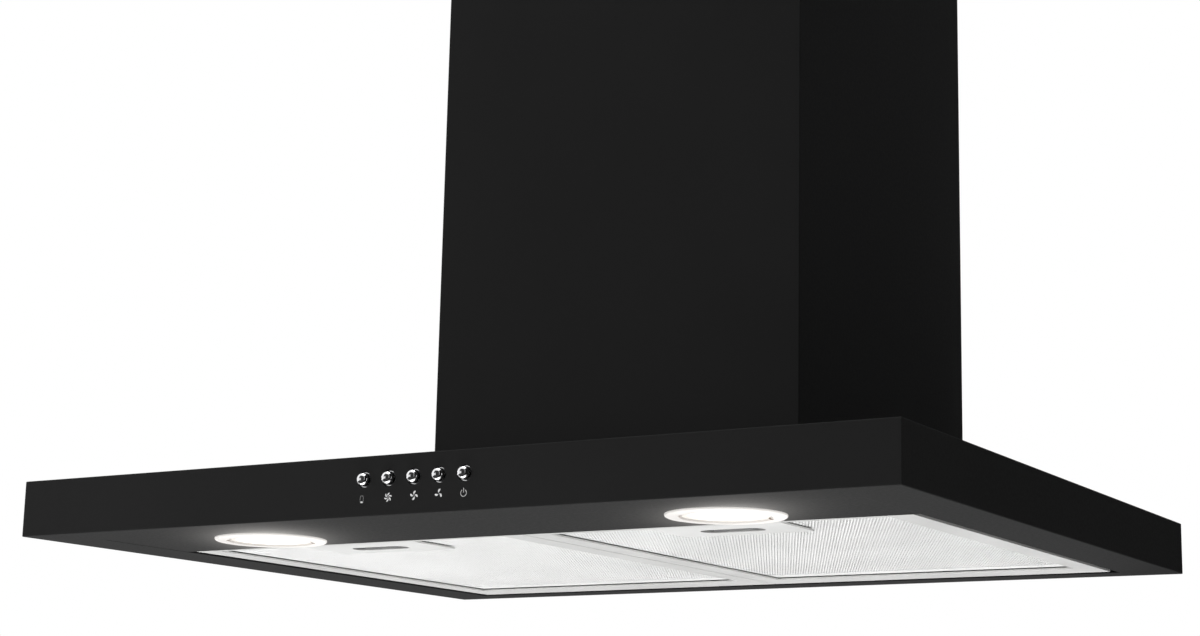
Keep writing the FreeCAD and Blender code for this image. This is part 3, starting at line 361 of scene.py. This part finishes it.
# painted glow round the lamps: emission on the canopy and strip that stands in for scattered lamp light
paintedLampGlow = {
    "centre": (0.1615, -0.416),
    "across": (20.8, 13.3, 0),  # one over the glow's half widths, along and over its long way
    "along": (-5.0, 12.1, 0),
    "fall": 3.1,
    "halves": 0.19,  # the painted glow is weaker round the right lamp by this share, stronger round the left one
    "facing": -0.7,  # only faces whose normal points down more than this
    "colour": (1.0, 0.97, 0.93),
}


def lampOffset(tree, coords):
    # the vector in the hood's plane from the nearer lamp's middle, its X part, and -1 or 1 for that lamp
    axes = put(tree, "SeparateXYZ", {0: coords}).outputs
    across, deep = paintedLampGlow["centre"]
    half = maths(tree, "SIGN", axes[0])
    dx = maths(tree, "SUBTRACT", axes[0], maths(tree, "MULTIPLY", half, across))
    dy = maths(tree, "SUBTRACT", axes[1], deep)
    return put(tree, "CombineXYZ", {0: dx, 1: dy}).outputs[0], dx, half


def addPaintedGlow(tree, shader, coords, glow):
    # painted glow round the lamps, emission standing in for their scattered light: glow times exp(-fall t),
    # where t is 1 on an ellipse round the lamp
    g = paintedLampGlow
    offset, _, half = lampOffset(tree, coords)
    u, v = (measured(tree, "DOT_PRODUCT", offset, g[way]) for way in ("across", "along"))
    t = measured(tree, "LENGTH", put(tree, "CombineXYZ", {0: u, 1: v}).outputs[0])
    fall = maths(tree, "EXPONENT", maths(tree, "MULTIPLY", t, -g["fall"]))
    facing = put(tree, "SeparateXYZ", {0: put(tree, "NewGeometry").outputs["Normal"]}).outputs[2]
    mask = maths(tree, "MULTIPLY", fall, maths(tree, "LESS_THAN", facing, g["facing"]))
    share = spread(tree, half, 1 + g["halves"], 1 - g["halves"], -1.0, 1.0)
    total = maths(tree, "MULTIPLY", maths(tree, "MULTIPLY", mask, share), glow)
    shader.inputs["Emission Color"].default_value = (*g["colour"], 1)
    tree.links.new(total, shader.inputs["Emission Strength"])


def sheetSteel(name, colour=(0.52, 0.53, 0.54), rough=0.38):
    # zinc coated sheet: crystal spangle in tone and roughness, over soft clouds
    mat, tree, shader, coords = finish(name, colour, 0.9, rough)
    wearAndHighlight, rounded = edgeWearAndHighlight(tree, 0.0006)
    spangle = put(tree, "TexVoronoi", {"Vector": coords, "Scale": 75.0, "Randomness": 1.0}).outputs["Color"]
    shard = put(tree, "SeparateColor", {0: spangle}).outputs[0]
    cloud = noise(tree, coords, 22.0, 5.0)
    tone = blendColour(tree, shard, scaled(colour, 0.82), colour)
    uneven = maths(tree, "ADD", spread(tree, shard, -0.06, 0.06), spread(tree, cloud, rough - 0.06, rough + 0.1))
    # edges paler, partly wear and partly painted highlight
    surface(tree, shader, blendColour(tree, wearAndHighlight, tone, (0.72, 0.72, 0.73)), uneven,
            (0.15, 0.00005, cloud), rounded)
    return mat


def rolledAluminium(name, colour, rough, metal, along=(1.0, 40.0, 1.0)):
    # mill finish: fine rolling streaks, shortened along each axis by its number, and softer clouds
    mat, tree, shader, coords = finish(name, colour, metal, rough)
    wearAndHighlight, rounded = edgeWearAndHighlight(tree, 0.0003)
    streak = put(tree, "Mapping", {"Vector": coords, "Scale": along}).outputs[0]
    lines = noise(tree, streak, 60.0, 6.0, Roughness=0.6)
    cloud = noise(tree, coords, 14.0, 3.0)
    tone = blendColour(tree, spread(tree, lines, 0.0, 1.0, 0.3, 0.7), scaled(colour, 0.9), colour)
    # edges paler, partly wear and partly painted highlight
    surface(tree, shader, blendColour(tree, wearAndHighlight, tone, (0.93, 0.93, 0.93)),
            spread(tree, cloud, rough - 0.06, rough + 0.08, 0.3, 0.7), (0.12, 0.00004, lines), rounded)
    return mat


def castMetal(name, colour, rough, metal):
    # die cast or turned metal: fine sand texture, darker clouds and brighter edges, partly wear and partly
    # painted highlight
    mat, tree, shader, coords = finish(name, colour, metal, rough)
    wearAndHighlight, rounded = edgeWearAndHighlight(tree, 0.0005)
    sand = noise(tree, coords, 900.0, 3.0)
    cloud = noise(tree, coords, 35.0, 4.0)
    tone = blendColour(tree, spread(tree, cloud, 0.0, 1.0, 0.3, 0.7), scaled(colour, 0.8), colour)
    surface(tree, shader, blendColour(tree, wearAndHighlight, tone, scaled(colour, 1.35)),
            spread(tree, sand, rough - 0.08, rough + 0.08, 0.3, 0.7), (0.3, 0.00006, sand), rounded)
    return mat


def mouldedPlastic(name, colour, rough=0.48, spec=0.45):
    # moulded plastic: spark-eroded grain, slow flow marks, edges a little paler, partly wear and partly painted
    # highlight
    mat, tree, shader, coords = finish(name, colour, 0.0, rough, spec)
    wearAndHighlight, rounded = edgeWearAndHighlight(tree, 0.0005)
    grain = noise(tree, coords, 1500.0, 2.0)
    flow = noise(tree, coords, 16.0, 2.0, Distortion=1.2)
    tone = blendColour(tree, spread(tree, flow, 0.0, 1.0, 0.3, 0.7), scaled(colour, 0.88), colour)
    pale = tuple(min(1, c * 1.12 + 0.01) for c in colour)
    surface(tree, shader, blendColour(tree, wearAndHighlight, tone, pale),
            spread(tree, grain, rough - 0.05, rough + 0.07, 0.3, 0.7), (0.25, 0.00005, grain), rounded)
    return mat


def chromePlate(name):
    # bright plating with the faintest haze and polishing swirl
    mat, tree, shader, coords = finish(name, (0.90, 0.90, 0.91), 1.0, 0.07)
    haze = noise(tree, coords, 420.0, 3.0)
    surface(tree, shader, None, spread(tree, haze, 0.05, 0.11, 0.3, 0.7), (0.05, 0.00002, haze))
    return mat


lampSeam = {
    "radius": 0.0259,
    "half": 0.0004,
    "turn": 40,  # degrees from X to the catches
    "catch": 0.0014,
    "stain": 0.40,
    "colour": (0.16, 0.10, 0.06),
    "reach": 0.030,  # the painted lean of the lamp's light is full this far to its right
}
# enamel ring's painted glow: emission standing in for lamp light on the ring, with a painted lean to its right
bezelPaintedGlow = {
    "colour": (1.0, 0.97, 0.94),
    "inner": 0.025,
    "outer": 0.0345,
    "high": 0.07,
    "low": 0.14,
    "lean": (0.0, 0.20),
}
# frosted cover's light from the lamp, with a painted lean to its right
lensLight = {
    "colour": (1.0, 0.985, 0.96),
    "inner": 0.0185,
    "outer": 0.0228,
    "high": 1.25,
    "low": 0.14,
    "lean": (0.0, 0.22),
}


def lampMaterial(name, colour, light, rough):
    # enamel ring with painted glow, or frosted cover lit by the lamp: strength goes from high to low between two
    # radii, and a painted lean makes it grow towards the lamp's right side; a seam where ring and cover meet,
    # with a brown catch at two places
    s = lampSeam
    mat, tree, shader, coords = finish(name, colour, 0.0, rough, 0.3)
    offset, dx, _ = lampOffset(tree, coords)
    far = measured(tree, "LENGTH", offset)
    strength = put(tree, "MapRange", {0: far, 1: light["inner"], 2: light["outer"],
                                      3: light["high"], 4: light["low"]},
                   interpolation_type="SMOOTHSTEP").outputs[0]
    # painted lean: the light made brighter towards the lamp's right side
    total = maths(tree, "ADD", strength, spread(tree, dx, *light["lean"], -s["reach"], s["reach"]))
    apart = maths(tree, "ABSOLUTE", maths(tree, "SUBTRACT", far, s["radius"]))
    seam = spread(tree, apart, 1.0, 0.0, s["half"], s["half"] * 2)
    turn = math.radians(s["turn"])
    over = measured(tree, "DOT_PRODUCT", offset, (-math.sin(turn), math.cos(turn), 0))
    near = spread(tree, maths(tree, "ABSOLUTE", over), 1.0, 0.0, s["catch"], s["catch"] * 1.6)
    beside = spread(tree, apart, 1.0, 0.0, s["catch"] * 0.7, s["catch"] * 1.3)
    stain = maths(tree, "MULTIPLY", seam, s["stain"])
    amount = maths(tree, "MAXIMUM", maths(tree, "MULTIPLY", near, beside), stain)
    lit = maths(tree, "MULTIPLY", total, maths(tree, "SUBTRACT", 1.0, amount))
    shader.inputs["Emission Color"].default_value = (*light["colour"], 1)
    tree.links.new(lit, shader.inputs["Emission Strength"])
    frost = noise(tree, coords, 1400.0, 2.0)
    surface(tree, shader, blendColour(tree, amount, colour, s["colour"]),
            spread(tree, frost, rough - 0.05, rough + 0.05, 0.3, 0.7), (0.2, 0.00004, frost))
    return mat

# canopy and lamp strip: powder coat with the painted glow round the lamps in its emission
canopyPaintAndPaintedGlow = satinPaint("satinBlackCanopyPaintedGlow", {**satinBlack, "glow": 1.35})
panelPaintAndPaintedGlow = satinPaint("satinBlackPanelPaintedGlow", {**satinBlack, "glow": 1.35})
coverPaint = satinPaint("satinBlackCover", satinBlack)
innerSteel = sheetSteel("zincSheet")
springSteel = castMetal("springSteel", (0.45, 0.46, 0.48), 0.3, 1.0)
shaftSteel = castMetal("groundSteel", (0.62, 0.62, 0.63), 0.25, 1.0)
zincPlate = castMetal("zincPlate", (0.68, 0.68, 0.66), 0.33, 1.0)
lampCasting = castMetal("lampCasting", (0.55, 0.55, 0.56), 0.5, 0.8)
motorCasting = castMetal("motorCasting", (0.38, 0.39, 0.41), 0.45, 0.8)
filterRim = rolledAluminium("filterRim", (0.63, 0.63, 0.62), 0.42, 0.3)
filterWeb = rolledAluminium("filterWeb", (0.94, 0.94, 0.93), 0.38, 0.35, (1.0, 12.0, 1.0))
filterFold = rolledAluminium("filterFold", (0.34, 0.34, 0.335), 0.5, 0.6, (20.0, 1.0, 1.0))
handlePlate = rolledAluminium("handlePlate", (0.70, 0.70, 0.69), 0.5, 0.35)
catchPlastic = mouldedPlastic("catchPlastic", (0.30, 0.30, 0.30))
scrollPlastic = mouldedPlastic("scrollPlastic", (0.060, 0.062, 0.065), 0.5)
wheelPlastic = mouldedPlastic("wheelPlastic", (0.34, 0.35, 0.36), 0.45)
blackPlastic = mouldedPlastic("blackPlastic", (0.028, 0.028, 0.03), 0.42)
whitePlastic = mouldedPlastic("whitePlastic", (0.72, 0.72, 0.69), 0.4)
greyPlastic = mouldedPlastic("greyPlastic", (0.46, 0.47, 0.47), 0.42)
flapPlastic = mouldedPlastic("flapPlastic", (0.60, 0.60, 0.58), 0.35)
bushRubber = mouldedPlastic("bushRubber", (0.022, 0.022, 0.022), 0.75, 0.3)
chrome = chromePlate("chromePlate")
# enamel ring with painted glow
bezelEnamelPaintedGlow = lampMaterial("bezelEnamelPaintedGlow", (0.62, 0.60, 0.58), bezelPaintedGlow, 0.4)
lensFrost = lampMaterial("lensFrost", (0.60, 0.57, 0.52), lensLight, 0.5)

nodeFinish = {
    "canopy_shell": canopyPaintAndPaintedGlow,
    "lamp_panel": panelPaintAndPaintedGlow,
    "chimney_lower": coverPaint,
    "chimney_upper": coverPaint,
    "blower_box": innerSteel,
    "wall_bracket": innerSteel,
    "capacitor_clip": innerSteel,
    "motor_bracket": innerSteel,
    "lamp_clips": springSteel,
    "latch_spring": springSteel,
    "impeller_nut": zincPlate,
    "motor_shaft": shaftSteel,
    "flap_pin": shaftSteel,
    "lamp_body": lampCasting,
    "motor_housing": motorCasting,
    "motor_bushes": bushRubber,
    "filter_frame": filterRim,
    "filter_mesh": filterWeb,
    "filter_core": filterFold,
    "filter_handle": handlePlate,
    "filter_latch": catchPlastic,
    "scroll": scrollPlastic,
    "impeller": wheelPlastic,
    "outlet_collar": blackPlastic,
    "damper_flap": flapPlastic,
    "capacitor": whitePlastic,
    "terminal_box": greyPlastic,
    "terminal_lid": greyPlastic,
    "terminal_block": whitePlastic,
    "cable_gland": blackPlastic,
    "led_driver": whitePlastic,
    "switch_housing": whitePlastic,
    "lamp_bezel": bezelEnamelPaintedGlow,
    "lamp_lens": lensFrost,
    "button": chrome,
}


def dressNodes():
    # each node takes the finish of the longest family name that begins its own name
    for name, node in nodes.items():
        family = max((f for f in nodeFinish if name.startswith(f)), key=len)
        for slot in node.material_slots:
            slot.material = nodeFinish[family]


dressNodes()
print("finishes made:", len(bpy.data.materials))


# turned shapes: buttons and lamp rings

def acrossAxis(axis):
    # the axis, and two unit vectors square to it and to each other
    axis = np.array(axis, float)
    side = np.cross(axis, (0, 0, 1)) if abs(axis[2]) < 0.9 else np.array((1.0, 0, 0))
    side = side / np.linalg.norm(side)
    return axis, side, np.cross(axis, side)


def lathe(profile, centre, axis, spokes, square):
    # turns (radius, height) pairs round an axis; rings marked square reach out to a square's sides
    profile = np.array(profile, float)
    axis, side, other = acrossAxis(axis)
    angle = np.linspace(0, 2 * np.pi, spokes, endpoint=False)
    cos, sin = np.cos(angle), np.sin(angle)
    reach = np.ones((len(profile), spokes))
    if square is not None:
        boxy = 1 / np.maximum(np.abs(cos), np.abs(sin))
        reach = 1 + np.array(square, float)[:, None] * (boxy - 1)
    radius = profile[:, :1] * reach
    points = (np.array(centre, float) + profile[:, 1, None, None] * axis
              + (radius * cos)[..., None] * side + (radius * sin)[..., None] * other)
    return points, gridFaces(len(profile), spokes, wrapColumns=True)


def shaft(name, profile, centre, axis, mat, body, spokes, square=None, sharp=35, closed=False):
    # a lathe form made into a piece; closed joins the profile's two ends
    if closed:
        profile = list(profile) + [profile[0]]
    points, faces = lathe(profile, centre, axis, spokes, square)
    piece = sealed(meshOf(name, points, faces), sharp)
    piece.data.materials.append(mat)
    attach(piece, body)
    return piece
    return piece


pushButton = {
    "radius": 0.00388,
    "dome": 0.0034,  # how far the crown stands over its edge
    "proud": 0.0045,
    "recess": 0.0012,  # the collar's face behind the canopy's
    "groove": 0.0001,
    "flange": 0.0045,  # radius of the collar behind the canopy's face
    "rounding": 0.0002,
    "skirt": 0.0100,
    "bevel": 0.0004,
    "stem": 0.0020,
    "tip": 0.0003,
    "rings": 14,
    "spokes": 56,
}


def makeButtons(b):
    # crown: height = front - dome (1 - sqrt(1 - r^2)), a flattened half ball, then collar, skirt and square stem
    for name in ("button_light", "button_speed_high", "button_speed_medium", "button_speed_low", "button_power"):
        low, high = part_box(name)
        middle = ((low.x + high.x) / 2, 0, (low.z + high.z) / 2)
        front, back = low.y, high.y
        bend = np.linspace(0, np.pi / 2, b["rings"])
        crown = np.stack([b["radius"] * np.sin(bend), front + b["dome"] * (1 - np.cos(bend))], -1)
        collar = front + b["proud"] + b["recess"]
        heel = front + b["skirt"]
        profile = crown.tolist() + [
            [b["radius"], collar - b["groove"]], [b["radius"] + b["groove"], collar],
            [b["flange"] - b["rounding"], collar], [b["flange"], collar + b["rounding"]],
            [b["flange"], heel - b["bevel"]], [b["flange"] - b["bevel"], heel],
            [b["stem"] + b["tip"], heel], [b["stem"], heel + b["tip"]],
            [b["stem"], back - b["tip"]], [b["stem"] - b["tip"], back], [0, back]]
        squareness = [0] * (len(crown) + 6) + [1] * 5
        words = name.split("_")[1:]
        piece = shaft("buttonCap" + "".join(w.title() for w in words), profile, middle, (0, 1, 0),
                      chrome, name, b["spokes"], squareness)
        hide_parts(name)


lampBezel = {
    "profile": [  # radius and level of the ring, from its inner lip round to its seat, in mm
        (25.2, 0.2), (25.2, -0.9), (25.5, -1.25), (26.1, -1.42), (27.0, -1.52), (30.0, -1.60), (32.6, -1.57),
        (33.8, -1.38), (34.5, -0.95), (34.8, -0.35), (34.8, 0.2),
    ],
    "spokes": 120,
}


def makeBezels(b):
    # the ring's section swept once round the lamp's axis
    for side in ("left", "right"):
        low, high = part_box(f"lamp_bezel_{side}")
        centre = ((low.x + high.x) / 2, (low.y + high.y) / 2, 0)
        profile = [(r / 1000, z / 1000) for r, z in b["profile"]]
        piece = shaft(f"lampRing{side.title()}", profile, centre, (0, 0, 1), bezelEnamelPaintedGlow, "hood", b["spokes"],
                      sharp=50, closed=True)
        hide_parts(f"lamp_bezel_{side}")


makeButtons(pushButton)
makeBezels(lampBezel)
print("buttons and lamp rings made")


filterNet = {
    "cellAcross": 0.00204,
    "cellDeep": 0.00412,  # long way of a diamond, along Y
    "hole": 0.42,  # hole's share of the cell
    "low": 0.00222,
    "high": 0.00266,
    "tilt": 0.00012,  # strands rise and fall as in expanded metal
    "sag": 0.6,  # share of the tilt that the hole's corners take, the other way
    "tuck": 0.0014,  # how far the net reaches over the frame's inner edge
    "border": (0.016, 0.006, 0.029),  # side, front, rear
    "hem": (0.0018, 0.0018, 0.015),  # unstretched sheet left at the sides, front and rear
    "frameRear": 0.001,  # the frame's body ends this far behind the mesh
    "lastRow": 0.3,  # share of a cell left before the rear hem
    "plateMargin": 0.0022,  # cells reach this far under the handle's plate
}


def makeNet(side, n):
    # staggered diamonds: centres at (i a/2, j b/2) with i + j even, each a ring of four strands round a
    # smaller diamond; a flat border of plain sheet lies round them
    rimLow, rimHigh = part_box(f"filter_frame_{side}")
    plateLow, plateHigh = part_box(f"filter_handle_{side}")
    edge, front, rear = n["border"]
    hemSide, hemFront, hemRear = n["hem"]
    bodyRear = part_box(f"filter_mesh_{side}")[1].y + n["frameRear"]
    x0, x1 = rimLow.x + edge - n["tuck"], rimHigh.x - edge + n["tuck"]
    y0, y1 = rimLow.y + front - n["tuck"], bodyRear - rear + n["tuck"]
    a, b = n["cellAcross"], n["cellDeep"]
    reach = int((x1 - x0) / a)
    columns = np.arange(-reach, reach + 1)
    rows = np.arange(0, int((y1 - y0) / (b / 2)) + 1)
    i, j = np.meshgrid(columns, rows, indexing="ij")
    keep = (i + j) % 2 == 0
    cx, cy = (rimLow.x + rimHigh.x) / 2 + i[keep] * a / 2, y0 + j[keep] * b / 2
    inside = ((cx > x0 + a / 2) & (cx < x1 - a / 2)
              & (cy > y0 + b / 2) & (cy < y1 - hemRear - b * n["lastRow"]))
    under = ((cx > plateLow.x + n["plateMargin"]) & (cx < plateHigh.x - n["plateMargin"])
             & (cy < plateHigh.y - n["plateMargin"]))
    cx, cy = cx[inside & ~under], cy[inside & ~under]
    # border: a rectangular ring with a rectangular section
    outer = np.array([(x0, y0), (x1, y0), (x1, y1), (x0, y1)])
    inner = np.array([(x0 + hemSide, y0 + hemFront), (x1 - hemSide, y0 + hemFront),
                      (x1 - hemSide, y1 - hemRear), (x0 + hemSide, y1 - hemRear)])
    section = [(outer, n["low"]), (inner, n["low"]), (inner, n["high"]), (outer, n["high"])]
    ring = np.stack([np.concatenate([flat, np.full((4, 1), z)], -1) for flat, z in section], 1).reshape(-1, 3)
    ringFaces = gridFaces(4, 4, wrapRows=True, wrapColumns=True)

    middleRow = np.median(cy)
    for part, mine in (("Front", cy < middleRow), ("Rear", cy >= middleRow)):
        points, faces = diamonds(cx[mine], cy[mine], n)
        if part == "Front":
            points, faces = np.concatenate([points, ring]), np.concatenate([faces, ringFaces + len(points)])
        net = meshOf(f"filterNet{side.title()}{part}", points, faces)
        net.data.materials.append(filterWeb)
        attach(net, f"filter_{side}")
        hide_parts(f"filter_mesh_{side}")
        print("net", side, part, len(faces) * 2, "triangles")


def diamonds(cx, cy, n):
    # four strands round each centre: a diamond outside, a smaller one inside, on a lower and an upper level
    centres = np.stack([cx, cy], -1)[:, None]
    ways = np.array([(1, 0), (0, 1), (-1, 0), (0, -1)], float) * (n["cellAcross"] / 2, n["cellDeep"] / 2)
    rim = ways[None] + centres
    hole = ways[None] * n["hole"] + centres
    lift = np.array([1, -1, 1, -1]) * n["tilt"]
    sag = -lift * n["sag"]
    rows = []
    for flat, level, bend in ((rim, n["low"], lift), (hole, n["low"], sag),
                              (hole, n["high"], sag), (rim, n["high"], lift)):
        height = np.broadcast_to((level + bend)[None, :, None], (len(cx), 4, 1))
        rows.append(np.concatenate([flat, height], -1))
    k = np.arange(4)
    nextK = (k + 1) % 4
    quads = np.concatenate([np.stack([r * 4 + k, (r + 1) * 4 + k, (r + 1) * 4 + nextK, r * 4 + nextK], -1)
                            for r in range(3)])
    faces = np.arange(len(cx))[:, None, None] * 16 + quads[None]
    return np.stack(rows, 1).reshape(-1, 3), faces.reshape(-1, 4)


for side in ("left", "right"):
    makeNet(side, filterNet)


# pictograms, printed on the canopy's front

iconStyle = {
    "thick": 0.00006,
    "hub": 0.00035,
    "blade": 0.0026,
    "line": 0.00019,
    "powerRadius": 0.00195,
    "powerGap": 30,  # degrees left open at each side of the bar
    "powerBar": (0.0002, 0.0029),
    "bulb": (0.0011, 0.0021),  # half its width and height
    "bulbLine": 0.00013,
    "bulbEnd": ((-0.0008, 0.0007), (-0.0016, -0.0017)),  # from and to, across and up
    "bulbEndHalf": 0.00052,
}


def ribbon(path, half, closed=False):
    # a flat strip along a path in the (x, z) plane: path plus and minus half a width along the path's normal
    path = np.array(path, float)
    if closed:
        along = np.roll(path, -1, 0) - np.roll(path, 1, 0)
    else:
        along = np.gradient(path, axis=0)
    normal = np.stack([-along[:, 1], along[:, 0]], -1)
    normal /= np.linalg.norm(normal, axis=1)[:, None]
    half = np.broadcast_to(np.array(half, float), (len(path),))[:, None]
    return path + normal * half, path - normal * half


def printed(strips, centre, front, thick):
    # each strip as a closed thin tube with a rectangular section, standing a little out of the front face
    points, faces, start = [], [], 0
    for (upper, lower), closed in strips:
        section = [(upper, thick), (lower, thick), (lower, -thick), (upper, -thick)]
        grid = np.stack([np.stack([centre[0] + s[:, 0], np.full(len(s), front - t), centre[1] + s[:, 1]], -1)
                         for s, t in section], 1)
        rows = len(upper)
        quads = gridFaces(rows, 4, wrapRows=closed, wrapColumns=True)
        if not closed:
            ends = np.array([[0, 1, 2, 3], [rows * 4 - 4, rows * 4 - 3, rows * 4 - 2, rows * 4 - 1]])
            quads = np.concatenate([quads, ends])
        points.append(grid.reshape(-1, 3))
        faces.append(quads + start)
        start += rows * 4
    return np.concatenate(points), np.concatenate(faces)


def fanStrips(count, s):
    # blades: a path that curls as it leaves the hub, widening like a paddle and rounded at its tip
    u = np.linspace(0.0, 1.0, 18)
    radius = s["hub"] + (s["blade"] - s["hub"]) * u
    width = 0.00046 * np.sqrt(np.clip(1 - ((u - 0.64) / 0.38) ** 2, 0, 1)) + 0.00010 * (1 - u) + 0.00002
    width *= 1.15 if count < 5 else 0.8
    strips = []
    for k in range(count):
        angle = 2 * np.pi * k / count + np.pi / 2 - (0.75 * u ** 1.2 - 0.35)
        path = np.stack([radius * np.cos(angle), radius * np.sin(angle)], -1)
        strips.append((ribbon(path, width), False))
    return strips


def makeIcons(s):
    # bulb: a rounded box |x/a|^4 + |z/b|^4 = 1 with its lit lower end; three fans; power: an open ring and a bar
    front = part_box("canopy_shell")[0].y
    arc = np.radians(np.linspace(90 + s["powerGap"], 450 - s["powerGap"], 40))
    circle = np.stack([s["powerRadius"] * np.cos(arc), s["powerRadius"] * np.sin(arc)], -1)
    bar = np.stack([np.zeros(6), np.linspace(*s["powerBar"], 6)], -1)
    power = [(ribbon(path, s["line"]), False) for path in (circle, bar)]
    ring = np.linspace(0, 2 * np.pi, 49)[:-1]
    cos, sin = np.cos(ring), np.sin(ring)
    wide, high = s["bulb"]
    squared = np.stack([wide * np.sign(cos) * np.abs(cos) ** 0.5, high * np.sign(sin) * np.abs(sin) ** 0.5], -1)
    bulb = [(ribbon(squared, s["bulbLine"], closed=True), True)]
    across, up = s["bulbEnd"]
    end = [(ribbon(np.stack([np.linspace(*across, 6), np.linspace(*up, 6)], -1), s["bulbEndHalf"]), False)]
    shapes = {  # place along X, level, strips and ink
        "iconBulb": (-0.0358, 0.0100, bulb, iconInkDim),
        "iconBulbEnd": (-0.0358, 0.0100, end, iconInk),
        "iconFanHigh": (-0.0173, 0.0104, fanStrips(6, s), iconInk),
        "iconFanMedium": (0.0008, 0.0105, fanStrips(4, s), iconInk),
        "iconFanLow": (0.0178, 0.0107, fanStrips(3, s), iconInk),
        "iconPower": (0.0346, 0.0101, power, iconInkSoft),
    }
    for name, (x, level, strips, ink) in shapes.items():
        points, faces = printed(strips, (x, level), front, s["thick"])
        piece = sealed(meshOf(name, points, faces))
        piece.data.materials.append(ink)
        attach(piece, "hood")


def printInk(name, colour):
    # screen print: slightly uneven cover over the paint's grain
    mat, tree, shader, coords = finish(name, colour, 0.0, 0.5, 0.3)
    cover = noise(tree, coords, 2200.0, 2.0)
    tone = blendColour(tree, spread(tree, cover, 0.0, 1.0, 0.3, 0.7), scaled(colour, 0.9), colour)
    tree.links.new(tone, shader.inputs["Base Color"])
    tree.links.new(spread(tree, cover, 0.44, 0.58, 0.3, 0.7), shader.inputs["Roughness"])
    return mat


iconInk = printInk("iconInk", (0.86, 0.86, 0.86))
iconInkSoft = printInk("iconInkSoft", (0.60, 0.60, 0.60))
iconInkDim = printInk("iconInkDim", (0.28, 0.28, 0.28))
makeIcons(iconStyle)
print("pictograms made")


# screws

screwHead = {
    "radius": 0.0036,
    "height": 0.0021,
    "slot": 0.00055,
    "slotLength": 0.0024,
    "depth": 0.0011,
    "seat": 0.0003,  # how far the head goes into the sheet
    "rings": 16,
    "spokes": 48,
}
screwPlaces = {
    "collarOut": 0.073,  # from the collar's middle, along X and Y
    "collarFlange": 0.0025,
    "lidIn": 0.006,
    "motorMiddle": (-0.104, 0.158),  # Y and Z of the motor's axis
    "motorOut": 0.024,
}


def panHead(name, centre, axis, scale, body):
    # height over the sheet as a function of radius and angle: a flattened dome less a cross-shaped recess
    s = screwHead
    rho = np.linspace(0, 1, s["rings"])[:, None]
    angle = np.linspace(0, 2 * np.pi, s["spokes"], endpoint=False)[None, :]
    x, y = rho * np.cos(angle) * s["radius"], rho * np.sin(angle) * s["radius"]
    dome = s["height"] * (1 - rho ** 4) ** 0.5 * np.ones_like(angle)
    arms = np.minimum(np.maximum(np.abs(x) / s["slotLength"], np.abs(y) / s["slot"]),
                      np.maximum(np.abs(y) / s["slotLength"], np.abs(x) / s["slot"]))
    height = dome - s["depth"] * np.clip((1.15 - arms) / 0.3, 0, 1)
    axis, side, other = acrossAxis(axis)
    face = (x[..., None] * side + y[..., None] * other + height[..., None] * axis) * scale + np.array(centre)
    seat = face[-1:] - axis * s["seat"]
    foot = np.broadcast_to(np.array(centre) - axis * s["seat"], (1, s["spokes"], 3))
    points = np.concatenate([face, seat, foot])
    faces = gridFaces(s["rings"] + 2, s["spokes"], wrapColumns=True)
    piece = sealed(meshOf(name, points, faces), 30)
    piece.data.materials.append(zincPlate)
    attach(piece, body)
    return piece


def makeScrews(p):
    # four at the corners of the collar's flange, two on the terminal lid, three round the motor's axis
    places = []
    low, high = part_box("outlet_collar")
    mid = ((low.x + high.x) / 2, (low.y + high.y) / 2)
    out = p["collarOut"]
    for k, (sx, sy) in enumerate([(-1, -1), (1, -1), (1, 1), (-1, 1)]):
        spot = (mid[0] + sx * out, mid[1] + sy * out, low.z + p["collarFlange"])
        places.append((f"collarScrew{k + 1}", spot, (0, 0, 1), 1.0, "hood", "outlet_collar"))
    low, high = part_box("terminal_lid")
    for k, x in enumerate((low.x + p["lidIn"], high.x - p["lidIn"])):
        spot = (x, (low.y + high.y) / 2, high.z)
        places.append((f"lidScrew{k + 1}", spot, (0, 0, 1), 0.8, "hood", "terminal_lid"))
    low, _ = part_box("motor_bracket")
    (y, z), out = p["motorMiddle"], p["motorOut"]
    for k in range(3):
        turn = 2 * math.pi * k / 3 + math.pi / 6
        spot = (low.x, y + out * math.cos(turn), z + out * math.sin(turn))
        places.append((f"motorScrew{k + 1}", spot, (-1, 0, 0), 0.8, "hood", "motor_bracket"))
    for name, centre, axis, scale, body, slot in places:
        panHead(name, centre, axis, scale, body)


makeScrews(screwPlaces)
print("screws made")
